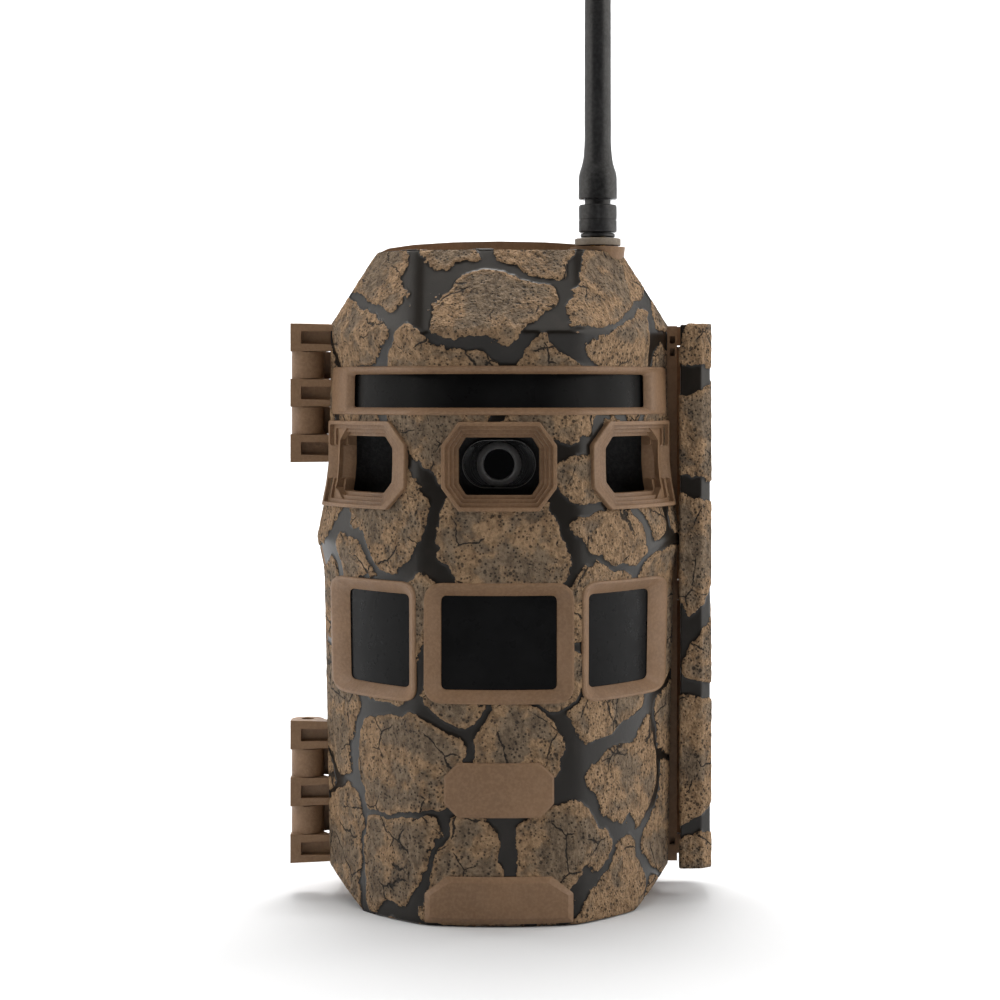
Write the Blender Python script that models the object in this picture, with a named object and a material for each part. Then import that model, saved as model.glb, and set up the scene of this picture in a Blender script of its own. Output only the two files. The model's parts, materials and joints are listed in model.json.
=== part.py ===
"""Trail camera with a hinged front door, a rotating lens turret and a battery case.

Lengths are in millimetres and become metres when a mesh is made (MM).
X is to the camera's left-right with +X on its latch side, the lens looks along -Y,
and Z = 0 is the flat bottom that the camera stands on.
"""
import math

import bmesh
import bpy
from mathutils import Matrix, Vector

MM = 0.001
GAP = 0.3                    # clearance between neighbouring pieces

# ---- driving dimensions: plan section of the front door ----------------------
PART_Y = 4.0                 # plane where the door meets the battery case
FRONT_Y = -37.0              # foremost line of the door skin
CREASE_X = 20.5              # half width of the centre facet
CENTRE_R = 79.0              # plan radius of the centre facet
SIDE_R = 86.0                # plan radius of each side facet
SIDE_START = math.radians(40)  # direction that a side facet faces at its crease
RIM_X = 45.6                 # half width of the door at its rim
WALL = 2.2                   # door wall

# ---- driving dimensions: front view outline -----------------------------------
TOP_Z = 174.6                # flat top of the door
TOP_X = 32.5                 # half width of that flat top
SHOULDER_Z = 155.0           # where the upper corner cut starts
FOOT_X = 35.7                # half width of the flat bottom
FOOT_Z = 9.1                 # height of the lower corner cut
CROWN = 3.1                  # rise of the case roof above the door
LIP = 0.4                    # the case rim stands out past the door
WAIST = ((9.0, 45.7), (56.0, 46.5), (88.0, 47.2), (98.0, 47.9),
         (113.0, 46.2), (118.0, 45.6), (175.0, 45.6))

# ---- driving dimensions: levels up the front ----------------------------------
BROW_Z = 152.4
IR_TOP = 144.3
IR_LOW = 131.0
BROW_DEPTH = 3.0             # the emitter band is set back under the brow
ROOF_SLOPE = 16.0 / 22.2     # run back per rise above the brow
CREST_Z = 90.0               # ridge over the motion windows where it starts
CREST_RISE = 8.0             # climb of that ridge towards the rim
CREST_OUT = 1.2
CREST_START = 22.0           # distance from the middle where the ridge starts
CREST_RUN = 24.0
CREST_END = 113.0
PIR_LOW, PIR_TOP = 57.0, 88.0
HOOD_LOW, HOOD_TOP = 106.4, 129.3
LENS_Z = 118.2

# ---- driving dimensions: frames let into the front, as left, right, bottom, top ----
PIR_CENTRE = (-19.2, 19.2, PIR_LOW, PIR_TOP)
PIR_SIDE = (21.2, 43.6, PIR_LOW, PIR_TOP)
PIR_CENTRE_R, PIR_SIDE_R = 5.0, 4.0
PIR_CENTRE_STILE, PIR_SIDE_STILE = 3.9, 3.2
PIR_RAIL = 3.4               # height of a bezel's upper and lower bar
HOOD_CENTRE = (-14.65, 14.65, HOOD_LOW, HOOD_TOP, 4.0, 5.4)
HOOD_SIDE = (23.8, 43.0, HOOD_LOW, HOOD_TOP, 3.8, 5.4)
HOOD_OUT, HOOD_BACK = 1.4, -5.0
LEDGES, TREAD, RISER = 4, 1.0, 0.8
IR_REACH = 43.4              # half width of the emitter band's frame
IR_OPENING = (38.0, 132.9, 141.6)
BAND_STOPS = (10.0, CREASE_X, 26.0, 32.0, 38.0)
OPENING_STOPS = (10.0, CREASE_X, 26.0, 32.0, 36.5)
SEAT_DEPTH = -1.2            # recess under the badge and the emblem pad
BADGE_OUT, PAD_OUT = 1.4, 0.9
SIDE_PARTS = 4               # parts that a level side is split into to follow the skin

# ---- driving dimensions: battery case -----------------------------------------
CASE_Y = PART_Y + GAP
BACK_Y = 33.0
POCKET_Y = 29.5
CELL_R, CELL_LENGTH = 7.1, 50.0
CELL_Y = 17.5
CELL_PITCH = 15.2
CELL_ROWS = (27.0, 82.5)
TRAY_X, TRAY_LOW, TRAY_TOP = 33.0, 19.0, 140.0
TRAY_Y = (9.0, 27.0)
TRAY_WALL = 1.6
CELL_FOOT = 5.2              # room under a row of cells for its contacts
SLEEVE_INSET, POCKET_INSET = 2.4, 5.0
TRIPOD_Y = 17.0
TRIPOD_R, TRIPOD_HEIGHT = 5.5, 8.6
PORT_X, PORT_R = -20.0, 4.6

# ---- driving dimensions: joints ------------------------------------------------
DOOR_AXIS = (-52.3, 6.0)
KNUCKLE_R = 4.4
PIN_R = 1.5
HINGES = ((9.0, 47.6), (117.9, 155.6))
KNUCKLES = 5
RECESS_X, RECESS_Y, RECESS_HALF = (-53.8, -45.7), (0.0, 3.4), 1.7    # hollows in the door's knuckles
LATCH_AXIS = (52.0, 22.0)
LATCH_LOW, LATCH_TOP = 8.4, 155.2
LATCH_R = 3.2
LATCH_PIN_R = 1.2
LUG_HEIGHT = 5.2
TURRET_Y = -4.0
TURRET_Z = (105.0, 131.4)
AXLE_R, AXLE_Z = 1.9, (96.8, 135.2)
ARMS = ((97.4, 99.4), (132.6, 134.6))
GEAR_Z = (100.2, 103.6)
FACE_Y = (-26.3, -24.0 - GAP)
FACE_X, FACE_UP = 9.57, 6.3
GEAR_TEETH, PINION_TEETH = 16, 8
GEAR_R, PINION_R = 4.75, 2.3
GEAR_CENTRES = 7.35
PINION_ANGLE = math.radians(-60)
ANTENNA = (26.6, -4.3)
ANTENNA_TOP = 335.0
ANTENNA_BOSS_R = 7.4
KEYS = (("key_up", -11.0, 52.0), ("key_down", 0.0, 52.0), ("key_ok", 11.0, 52.0))
KEY_X, KEY_Z = 3.4, 2.4      # half width and half height of a key
COVER_Y = (1.9, 3.6)
SCREWS = ((-33.0, 14.0), (33.0, 14.0), (-33.0, 158.0), (33.0, 158.0))

# ---- driving dimensions: rails and strap slots on the back ----------------------
STRAP_SLOTS = ((48.0, 76.0), (106.0, 134.0))
STRAP_Y = (33.2, 37.6)
RAIL_X = (19.0, 27.0)
RAIL_Z = (22.0, 150.0)
RAIL_Y = 41.2
TOOTH_DEPTH = 1.5
RAIL_TEETH = 16

# ---- colours: base colour, roughness, metallic ---------------------------------
CAMO = ((0.190, 0.125, 0.080), 0.75, 0.0)
BROWN = ((0.170, 0.108, 0.066), 0.60, 0.0)
DARK_WINDOW = ((0.010, 0.010, 0.011), 0.18, 0.0)
BLACK = ((0.014, 0.014, 0.015), 0.45, 0.0)
CHARCOAL = ((0.035, 0.035, 0.037), 0.55, 0.0)
RUBBER = ((0.020, 0.020, 0.021), 0.80, 0.0)
STEEL = ((0.560, 0.570, 0.580), 0.30, 1.0)
BRASS = ((0.640, 0.450, 0.180), 0.32, 1.0)
BOARD = ((0.020, 0.110, 0.050), 0.45, 0.0)
CELL = ((0.250, 0.260, 0.270), 0.35, 0.6)
COLLAR = ((0.110, 0.090, 0.070), 0.50, 0.0)
GLASS = ((0.020, 0.022, 0.030), 0.05, 0.0)
KEY = ((0.300, 0.300, 0.290), 0.55, 0.0)


# ---- small helpers --------------------------------------------------------------
def clear_scene():
    for thing in list(bpy.data.objects):
        bpy.data.objects.remove(thing, do_unlink=True)


def material(name, look):
    colour, roughness, metallic = look
    made = bpy.data.materials.new(name)
    made.use_nodes = True
    shader = made.node_tree.nodes["Principled BSDF"]
    shader.inputs["Base Color"].default_value = (*colour, 1.0)
    shader.inputs["Roughness"].default_value = roughness
    shader.inputs["Metallic"].default_value = metallic
    return made


def add_object(name, bm, look=None, smooth=40.0):
    """Turn a bmesh in millimetres into an object; no look means a hidden cutter."""
    bmesh.ops.recalc_face_normals(bm, faces=bm.faces)
    bm.transform(Matrix.Scale(MM, 4))
    mesh = bpy.data.meshes.new(name)
    bm.to_mesh(mesh)
    bm.free()
    mesh.shade_smooth()
    mesh.set_sharp_from_angle(angle=math.radians(smooth))
    thing = bpy.data.objects.new(name, mesh)
    bpy.context.scene.collection.objects.link(thing)
    if look is None:
        thing.hide_render = True
        thing.display_type = "WIRE"
    else:
        mesh.materials.append(material(name, look))
    return thing


def pivot(name, x, y, z):
    empty = bpy.data.objects.new(name, None)
    empty.location = Vector((x, y, z)) * MM
    bpy.context.scene.collection.objects.link(empty)
    return empty


def hang(thing, empty):
    """Parent a piece to the empty on its joint's axis without moving it."""
    thing.parent = empty
    thing.matrix_parent_inverse = Matrix.Translation(-empty.location)


def combine(thing, other, operation):
    step = thing.modifiers.new(other.name, "BOOLEAN")
    step.operation = operation
    step.object = other
    step.solver = "EXACT"


def cut(thing, bm):
    combine(thing, add_object(f"{thing.name}_cut", bm), "DIFFERENCE")


def weld(thing, bm):
    combine(thing, add_object(f"{thing.name}_add", bm), "UNION")


def loft(rings, ends=True):
    """Bridge rings of equal length; ends=False joins the last ring to the first."""
    bm = bmesh.new()
    loops = [[bm.verts.new(point) for point in ring] for ring in rings]
    pairs = list(zip(loops, loops[1:]))
    if not ends:
        pairs.append((loops[-1], loops[0]))
    for low, high in pairs:
        for i in range(len(low)):
            j = (i + 1) % len(low)
            bm.faces.new((low[i], low[j], high[j], high[i]))
    if ends:
        bm.faces.new(loops[0])
        bm.faces.new(loops[-1])
    return bm


def flat_faced(bm):
    """Split curved end faces into triangles."""
    bmesh.ops.triangulate(bm, faces=[f for f in bm.faces if len(f.verts) > 4])
    return bm


def block(x, y, z):
    return prism([(x[0], y[0]), (x[1], y[0]), (x[1], y[1]), (x[0], y[1])], z)


def prism(plan, z):
    """Extrude a plan outline (x, y) between two heights."""
    return loft([[(px, py, level) for px, py in plan] for level in z])


def slab(front, y):
    """Extrude a front view outline (x, z) between two depths."""
    return loft([[(px, depth, pz) for px, pz in front] for depth in y])


def arc(cx, cy, radius, start, stop, steps):
    angles = [math.radians(start + (stop - start) * i / steps) for i in range(steps + 1)]
    return [(cx + radius * math.cos(a), cy + radius * math.sin(a)) for a in angles]


def circle(radius, steps, cx=0.0, cy=0.0):
    return arc(cx, cy, radius, 0, 360, steps)[:-1]


def turned(profile, steps, frame=None):
    """Turn (radius, height) pairs about Z, then move the result by frame."""
    bm = loft([[(px, py, level) for px, py in circle(radius, steps)]
               for radius, level in profile])
    if frame is not None:
        bm.transform(frame)
    return bm


def along_y(x, y, z):
    """Frame whose Z axis points forwards, along -Y."""
    return Matrix.Translation((x, y, z)) @ Matrix.Rotation(math.radians(90), 4, "X")


def ring_of(profile, steps, frame=None):
    """Turn a closed (radius, height) outline into a ring with a bore."""
    bm = loft([[(px, py, level) for px, py in circle(radius, steps)]
               for radius, level in profile], ends=False)
    if frame is not None:
        bm.transform(frame)
    return bm


def rounded(low, high, bottom, top, radius, steps=3):
    """Rounded rectangle in the front view, anticlockwise from its right lower corner."""
    points = []
    corners = ((high - radius, bottom + radius, -90), (high - radius, top - radius, 0),
               (low + radius, top - radius, 90), (low + radius, bottom + radius, 180))
    for cx, cz, start in corners:
        points += arc(cx, cz, radius, start, start + 90, steps)
    return points


def octagon(low, high, bottom, top, cut_x, cut_z):
    return [(high - cut_x, bottom), (high, bottom + cut_z), (high, top - cut_z),
            (high - cut_x, top), (low + cut_x, top), (low, top - cut_z),
            (low, bottom + cut_z), (low + cut_x, bottom)]


def mirrored(points):
    return [(-u, z) for u, z in reversed(points)]


def subdivide(points, count):
    """Split each level side of an outline into a number of equal parts."""
    result = []
    for (ax, az), (bx, bz) in zip(points, points[1:] + points[:1]):
        parts = count if abs(az - bz) < 1e-6 else 1
        result += [(ax + (bx - ax) * i / parts, az + (bz - az) * i / parts)
                   for i in range(parts)]
    return result


# ---- the curved skin of the door --------------------------------------------------
def half_width(z):
    for (z0, w0), (z1, w1) in zip(WAIST, WAIST[1:]):
        if z <= z1:
            return w0 + (w1 - w0) * max(0.0, z - z0) / (z1 - z0)
    return WAIST[-1][1]


def lean(z):
    """How far the skin runs back at a height."""
    if z > BROW_Z:
        return (z - BROW_Z) * ROOF_SLOPE
    if z > IR_TOP:
        return BROW_DEPTH * (BROW_Z - z) / (BROW_Z - IR_TOP)
    if z > IR_LOW:
        return BROW_DEPTH * (z - IR_LOW) / (IR_TOP - IR_LOW)
    return 0.0


def crest_reach(u):
    return max(0.0, abs(u) - CREST_START) / CREST_RUN


def crest_height(u):
    return CREST_Z + CREST_RISE * crest_reach(u)


def crest(u, z):
    """The side facets swell to a slanting ridge above the motion windows."""
    ridge, low = crest_height(u), PIR_TOP + 0.8
    if z <= low or z >= CREST_END:
        return 0.0
    share = (z - low) / (ridge - low) if z < ridge else (CREST_END - z) / (CREST_END - ridge)
    return CREST_OUT * min(1.0, 2.5 * crest_reach(u)) * share


def skin(u, z, out=0.0):
    """Point of the skin at front view position (u, z), moved out along the plan normal."""
    side = abs(u)
    centre_angle = math.asin(CREASE_X / CENTRE_R)
    crease_y = FRONT_Y + CENTRE_R * (1 - math.cos(centre_angle))
    side_cx = CREASE_X - SIDE_R * math.sin(SIDE_START)
    side_cy = crease_y + SIDE_R * math.cos(SIDE_START)
    if abs(side - CREASE_X) < 1e-6:
        x, y = CREASE_X, crease_y
        facing = (centre_angle + SIDE_START) / 2
        out /= math.cos((SIDE_START - centre_angle) / 2)
    elif side < CREASE_X:
        facing = math.asin(side / CENTRE_R)
        x, y = side, FRONT_Y + CENTRE_R * (1 - math.cos(facing))
    else:
        facing = math.asin(min(1.0, (side - side_cx) / SIDE_R))
        x, y = side, side_cy - SIDE_R * math.cos(facing)
    out += crest(u, z)
    x += out * math.sin(facing)
    y -= out * math.cos(facing)
    if x > CREASE_X:
        x = CREASE_X + (x - CREASE_X) * (half_width(z) - CREASE_X) / (RIM_X - CREASE_X)
    back = PART_Y - (0.9 if out >= 0 else 0.5)
    return Vector((math.copysign(x, u) if u else 0.0, min(y + lean(z), back), z))


def bottom_at(u):
    return max(0.0, (abs(u) - FOOT_X) * FOOT_Z / (RIM_X - FOOT_X))


def top_at(u):
    return TOP_Z - max(0.0, abs(u) - TOP_X) * (TOP_Z - SHOULDER_Z) / (RIM_X - TOP_X)


def facing_frame(u, z, out):
    """Frame on the skin with its Z axis along the plan normal there."""
    foot, tip = skin(u, z, out), skin(u, z, out + 1.0)
    turn = math.atan2(tip.x - foot.x, foot.y - tip.y)
    return Matrix.Translation(foot) @ Matrix.Rotation(turn, 4, "Z") @ Matrix.Rotation(
        math.radians(90), 4, "X")


def skin_ring(levels):
    """A frame lying in the skin: each level is an outline with how far out it stands."""
    return loft([[skin(u, z, out) for u, z in outline] for outline, out in levels], ends=False)


def skin_plug(outline, low, high):
    """A plug or cutter through the skin with the given outline."""
    return flat_faced(loft([[skin(u, z, out) for u, z in outline] for out in (low, high)]))


def skin_plate(stops, bottom, top, back, front):
    """A curved plate or cutter that follows the skin through a row of stops across it."""
    rings = [[skin(u, bottom, back), skin(u, bottom, front), skin(u, top, front),
              skin(u, top, back)] for u in stops]
    return loft(rings)


def even_stops(low, high, steps):
    return [low + (high - low) * i / steps for i in range(steps + 1)]


def band_stops(reach, half=BAND_STOPS):
    """Stops across all three facets, with one on each crease."""
    right = [*half, reach]
    return [-u for u in reversed(right)] + [0.0] + right


def band(stops, bottom, top):
    return [(u, bottom) for u in stops] + [(u, top) for u in reversed(stops)]


def grown(outline, out):
    """Move an outline outwards from its middle by a clearance."""
    us, zs = [u for u, _ in outline], [z for _, z in outline]
    middle_u, middle_z = (min(us) + max(us)) / 2, (min(zs) + max(zs)) / 2
    wide = 1 + 2 * out / (max(us) - min(us))
    tall = 1 + 2 * out / (max(zs) - min(zs))
    return [(middle_u + (u - middle_u) * wide, middle_z + (z - middle_z) * tall)
            for u, z in outline]


PIR_OUTLINES = [subdivide(rounded(*PIR_CENTRE, PIR_CENTRE_R), SIDE_PARTS),
                subdivide(rounded(*PIR_SIDE, PIR_SIDE_R), SIDE_PARTS)]
PIR_OUTLINES.append(mirrored(PIR_OUTLINES[1]))
HOOD_OUTLINES = [subdivide(octagon(*HOOD_CENTRE), SIDE_PARTS),
                 subdivide(octagon(*HOOD_SIDE), SIDE_PARTS)]
HOOD_OUTLINES.append(mirrored(HOOD_OUTLINES[1]))
IR_OUTLINE = band(band_stops(IR_REACH), IR_LOW, IR_TOP - 0.6)
BADGE_OUTLINE = subdivide([(13.5, 0.9), (18.9, 0.9), (18.9, 8.4), (13.5, 12.9),
                           (-13.5, 12.9), (-18.9, 8.4), (-18.9, 0.9), (-13.5, 0.9)], SIDE_PARTS)
PAD_OUTLINE = subdivide(octagon(-14.0, 14.0, 28.0, 42.0, 3.5, 3.5), SIDE_PARTS)


def case_outline(out):
    """Front view outline of the case, moved out by a distance, with the crowned roof."""
    right = [(FOOT_X, 0.0)] + [(half_width(z), z) for z in (FOOT_Z, 56, 88, 98, 113, 118)]
    right += [(RIM_X, SHOULDER_Z), (TOP_X, TOP_Z)]
    rise = [(TOP_X * math.cos(math.pi * i / 8), TOP_Z + CROWN * math.sin(math.pi * i / 8))
            for i in range(1, 8)]
    points = right + rise + mirrored(right)
    moved = []
    for i, point in enumerate(points):
        before, after = Vector(points[i - 1]), Vector(points[(i + 1) % len(points)])
        here = Vector(point)
        first, second = (here - before).normalized(), (after - here).normalized()
        normal = Vector((first.y + second.y, -first.x - second.x)).normalized()
        reach = out / max(0.3, normal.dot(Vector((first.y, -first.x))))
        moved.append(tuple(here + normal * reach))
    return moved


def case_loft(stations, flat_to=-100.0):
    """Loft through outlines along Y; the base stays flat as far back as flat_to."""
    rings = []
    for y, out in stations:
        low = min(z for _, z in case_outline(out))
        drop = low if y <= flat_to else 0.0
        rings.append([(x, y, z - drop if z < low + 0.01 else z) for x, z in case_outline(out)])
    return loft(rings)


# ---- door ---------------------------------------------------------------------------
def front_shell():
    half = [RIM_X, 42.2, 39.0, FOOT_X, TOP_X, 29.0, 25.0, CREASE_X, 13.7, 6.85]
    columns = [-u for u in half] + [0.0] + half[::-1]

    def heights(u, inset):
        low, high = bottom_at(u), top_at(u)
        levels = [low, 10.5, 30.0, 56.0, PIR_TOP + 0.8, crest_height(u), CREST_END, 118.0,
                  IR_LOW, IR_TOP, BROW_Z, high]
        share = (high - low - 2 * inset) / (high - low)
        return [low + inset + (z - low) * share for z in levels]

    bm = bmesh.new()
    outer = [[bm.verts.new(skin(u, z)) for z in heights(u, 0)] for u in columns]
    inner = [[bm.verts.new(skin(u, z, -WALL)) for z in heights(u, WALL)] for u in columns]
    for grid in (outer, inner):
        for left, right in zip(grid, grid[1:]):
            for j in range(len(left) - 1):
                bm.faces.new((left[j], right[j], right[j + 1], left[j + 1]))
    borders = []
    for grid in (outer, inner):
        around = [column[0] for column in grid] + grid[-1][1:]
        around += [column[-1] for column in grid[-2::-1]] + grid[0][-2:0:-1]
        rim = [bm.verts.new((v.co.x, PART_Y, v.co.z)) for v in around]
        borders.append((around, rim))
    (outer_edge, outer_rim), (inner_edge, inner_rim) = borders
    for first, second in ((outer_edge, outer_rim), (outer_rim, inner_rim),
                          (inner_rim, inner_edge)):
        for i in range(len(first)):
            j = (i + 1) % len(first)
            bm.faces.new((first[i], first[j], second[j], second[i]))
    shell = add_object("front_shell", bm, CAMO, smooth=20.0)
    for low, high in HINGES:
        weld_knuckles(shell, low, high, 0)
    cut_pins(shell)
    for outline in PIR_OUTLINES + HOOD_OUTLINES:
        cut(shell, skin_plug(grown(outline, GAP), -8.0, 6.0))
    cut(shell, skin_plate(band_stops(IR_REACH + GAP), IR_LOW - GAP, IR_TOP - 0.6 + GAP,
                          -8.0, 6.0))
    for outline in (BADGE_OUTLINE, PAD_OUTLINE):
        cut(shell, skin_plug(grown(outline, GAP), SEAT_DEPTH, 4.0))
    weld(shell, prism(circle(ANTENNA_BOSS_R, 28, *ANTENNA), (171.8, 175.9)))
    cut(shell, prism(circle(4.2, 20, *ANTENNA), (160.0, 180.0)))
    return shell


def knuckle_spans(low, high):
    pitch = (high - low) / KNUCKLES
    return [(low + pitch * i + GAP / 2, low + pitch * (i + 1) - GAP / 2)
            for i in range(KNUCKLES)]


def door_knuckle_plan():
    x, y = DOOR_AXIS
    left = x - KNUCKLE_R
    return [(left, 1.3), (-44.2, 1.3), (-44.2, PART_Y - 0.1), (-46.6, PART_Y - 0.1)] + arc(
        x, y, KNUCKLE_R, 0, 180, 10)


def case_knuckle_plan():
    x, y = DOOR_AXIS
    return arc(x, y, KNUCKLE_R, 90, 360, 14) + [
        (x + KNUCKLE_R, 7.6), (-44.4, 7.6), (-44.4, y + KNUCKLE_R)]


def weld_knuckles(shell, low, high, first):
    """Knuckles 0, 2 and 4 belong to the door, 1 and 3 to the case."""
    plan = door_knuckle_plan() if first == 0 else case_knuckle_plan()
    for span in knuckle_spans(low, high)[first::2]:
        weld(shell, prism(plan, span))
        if first == 0:
            middle = (span[0] + span[1]) / 2
            cut(shell, block(RECESS_X, RECESS_Y, (middle - RECESS_HALF, middle + RECESS_HALF)))


def cut_pins(shell):
    for low, high in HINGES:
        cut(shell, prism(circle(PIN_R + GAP, 14, *DOOR_AXIS), (low - 2.0, high + 2.0)))


def stepped_hood(name, low, high, bottom, top, cut_x, cut_z):
    """A lens hood whose inside steps down in ledges to a deep opening."""
    outer = octagon(low, high, bottom, top, cut_x, cut_z)
    levels = [(outer, HOOD_BACK), (outer, HOOD_OUT)]
    for i in range(1, LEDGES + 1):
        shrink = i * TREAD
        inner = octagon(low + shrink, high - shrink, bottom + shrink, top - shrink,
                        cut_x - 0.5 * shrink, cut_z - 0.62 * shrink)
        foot = HOOD_BACK if i == LEDGES else HOOD_OUT - i * RISER
        levels += [(inner, HOOD_OUT - (i - 1) * RISER), (inner, foot)]
    return add_object(name, skin_ring([(subdivide(o, SIDE_PARTS), out) for o, out in levels]),
                      BROWN, smooth=25.0)


def pir_set(tag, outline, frame, stile, flip=False):
    """A motion window: the raised bezel, the dark pane behind it and the sensor inside."""
    low, high, bottom, top = frame
    opening = rounded(low + stile, high - stile, bottom + PIR_RAIL, top - PIR_RAIL, 1.8)
    mouth = rounded(low + stile - 0.9, high - stile + 0.9, bottom + PIR_RAIL - 0.9,
                    top - PIR_RAIL + 0.9, 2.6)
    opening, mouth = subdivide(opening, SIDE_PARTS), subdivide(mouth, SIDE_PARTS)
    if flip:
        opening, mouth = mirrored(opening), mirrored(mouth)
        low, high = -high, -low
    levels = [(outline, -3.4), (outline, 0.1), (grown(outline, -0.5), 0.6),
              (mouth, 0.3), (opening, -0.9), (opening, -3.4)]
    bezel = add_object(f"pir_bezel_{tag}", skin_ring(levels), BROWN, smooth=25.0)
    window = add_object(f"pir_window_{tag}", skin_plate(
        even_stops(low + 1.6, high - 1.6, 8), bottom + 1.6, top - 1.6, -5.2, -3.4 - GAP),
        DARK_WINDOW)
    can = [(0.9, -8.0), (0.9, 0.0), (4.6, 0.0), (4.6, 4.0), (4.0, 4.4)]
    sensor = add_object(f"pir_sensor_{tag}", turned(
        can, 16, facing_frame((low + high) / 2, (bottom + top) / 2, -17.0)), STEEL)
    return [bezel, window, sensor]


def ir_set():
    """The emitter band: its frame, the dark window and the board of emitters behind it."""
    reach, low, high = IR_OPENING
    opening = band(band_stops(reach, OPENING_STOPS), low, high)
    flare = [(u * 1.03, z + (-0.8 if z == low else 0.6)) for u, z in opening]
    levels = [(IR_OUTLINE, -3.2), (IR_OUTLINE, 0.4), (grown(IR_OUTLINE, -0.5), 0.7),
              (flare, -0.2), (opening, -1.6), (opening, -3.2)]
    bezel = add_object("ir_bezel", skin_ring(levels), BROWN, smooth=25.0)
    window = add_object("ir_window", skin_plate(band_stops(40.5), 131.6, 142.8, -5.0, -3.5),
                        DARK_WINDOW)
    board = add_object("ir_led_board", slab(rounded(-24.0, 24.0, 132.0, 142.5, 1.5, 2),
                                            (-19.6, -18.0)), BOARD)
    return [bezel, window, board]


def badge_plates():
    pieces = []
    for name, outline, stand in (("badge_plate", BADGE_OUTLINE, BADGE_OUT),
                                 ("emblem_pad", PAD_OUTLINE, PAD_OUT)):
        levels = [(outline, SEAT_DEPTH + GAP), (outline, stand - 0.5),
                  (grown(outline, -0.6), stand)]
        rings = [[skin(u, z, out) for u, z in shape] for shape, out in levels]
        pieces.append(add_object(name, flat_faced(loft(rings)), BROWN, smooth=25.0))
    return pieces


def inner_cover():
    cover = add_object("inner_cover", slab(door_liner(3.3), COVER_Y), CHARCOAL)
    cut(cover, slab(rounded(-19.3, 19.3, 63.7, 92.3, 1.5, 2), (0.0, 5.0)))
    for _, x, z in KEYS:
        side, rise = KEY_X + 0.5, KEY_Z + 0.5
        cut(cover, slab(rounded(x - side, x + side, z - rise, z + rise, 1.2, 2), (0.0, 5.0)))
    cut(cover, block((20.8, 27.2), (0.0, 5.0), (49.2, 54.8)))
    cut(cover, block((-12.6, 12.6), (0.0, 5.0), (25.6, 28.6)))
    for x, z in SCREWS:
        cut(cover, slab(circle(1.5, 12, x, z), (0.0, 5.0)))
    for low, high in ARMS:
        weld(cover, block((-6.0, 6.0), (TURRET_Y - 5.0, 2.4), (low, high)))
        cut(cover, prism(circle(AXLE_R + GAP, 14, 0.0, TURRET_Y), (low - 1.0, high + 1.0)))
    return cover


def door_liner(inset):
    """Front view outline of the flat plate that closes the door's back."""
    corner = inset + 0.6
    right = [(FOOT_X - corner, inset), (RIM_X - inset, FOOT_Z + corner),
             (half_width(98) - inset, 98.0), (RIM_X - inset, 118.0),
             (RIM_X - inset, SHOULDER_Z - corner), (TOP_X - corner, TOP_Z - inset)]
    return right + mirrored(right)


def door_inside():
    pieces = [inner_cover()]
    pieces.append(add_object("display", slab(rounded(-19.0, 19.0, 64.0, 92.0, 1.2, 2),
                                             (0.2, 3.3)), GLASS))
    pieces.append(add_object("main_board", slab(rounded(-34.0, 34.0, 38.0, 94.0, 2.0, 2),
                                                (-2.4, -0.8)), BOARD))
    pieces.append(add_object("sd_socket", block((-14.5, 14.5), (-26.0, -1.0), (22.6, 31.6)),
                             STEEL))
    cut(pieces[-1], block((-12.5, 12.5), (-29.2, 0.0), (25.6, 28.6)))
    for index, (x, z) in enumerate(SCREWS, start=1):
        profile = [(1.1, 8.0), (1.1, 0.0), (2.3, 0.0), (2.3, -0.9), (1.7, -1.3)]
        pieces.append(add_object(f"cover_screw_{index}", turned(
            profile, 12, along_y(x, 3.9, z)), STEEL))
    return pieces


def antenna_set():
    place = Matrix.Translation((*ANTENNA, 0.0))
    connector = [(3.9, 166.0), (3.9, 176.2), (2.2, 176.2), (2.2, 181.4)]
    collar = [(2.5, 176.5), (6.1, 176.5), (6.3, 176.6), (6.3, 177.6), (5.7, 178.3), (2.5, 178.3)]
    whip = [(4.66, 178.6), (4.66, 179.6), (3.5, 179.6), (3.5, 188.7), (5.17, 189.0),
            (5.17, 194.3), (5.0, 195.6), (4.45, 197.4), (4.0, 199.4), (3.75, 201.6),
            (3.6, 204.0), (3.5, ANTENNA_TOP - 2.0), (2.6, ANTENNA_TOP)]
    bore = [(2.5, 178.3), (2.5, 181.7), (1.5, 182.3), (0.6, 182.3)]
    nut = [(3.8, 179.9), (4.95, 179.9), (5.15, 180.3), (5.15, 186.8), (4.9, 187.3), (3.8, 187.3)]
    pieces = [add_object("antenna_connector", turned(connector, 20, place), BRASS),
              add_object("antenna_collar", ring_of(collar, 28, place), COLLAR)]
    stem = add_object("antenna_whip", turned(whip, 24, place), BLACK)
    cut(stem, turned(bore, 16, place))
    ring = add_object("antenna_nut", ring_of(nut, 28, place), BLACK)
    return pieces + [stem], ring


# ---- turret -----------------------------------------------------------------------
def gear_plan(teeth, pitch_r, turn):
    """Straight-flanked gear outline; the teeth are slim, to leave running clearance."""
    points = []
    step = 2 * math.pi / teeth
    for i in range(teeth):
        middle = turn + i * step
        for share, radius in ((-0.26, pitch_r - 0.5), (-0.13, pitch_r + 0.42),
                              (0.13, pitch_r + 0.42), (0.26, pitch_r - 0.5)):
            angle = middle + share * step
            points.append((radius * math.cos(angle), radius * math.sin(angle)))
    return points


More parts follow.
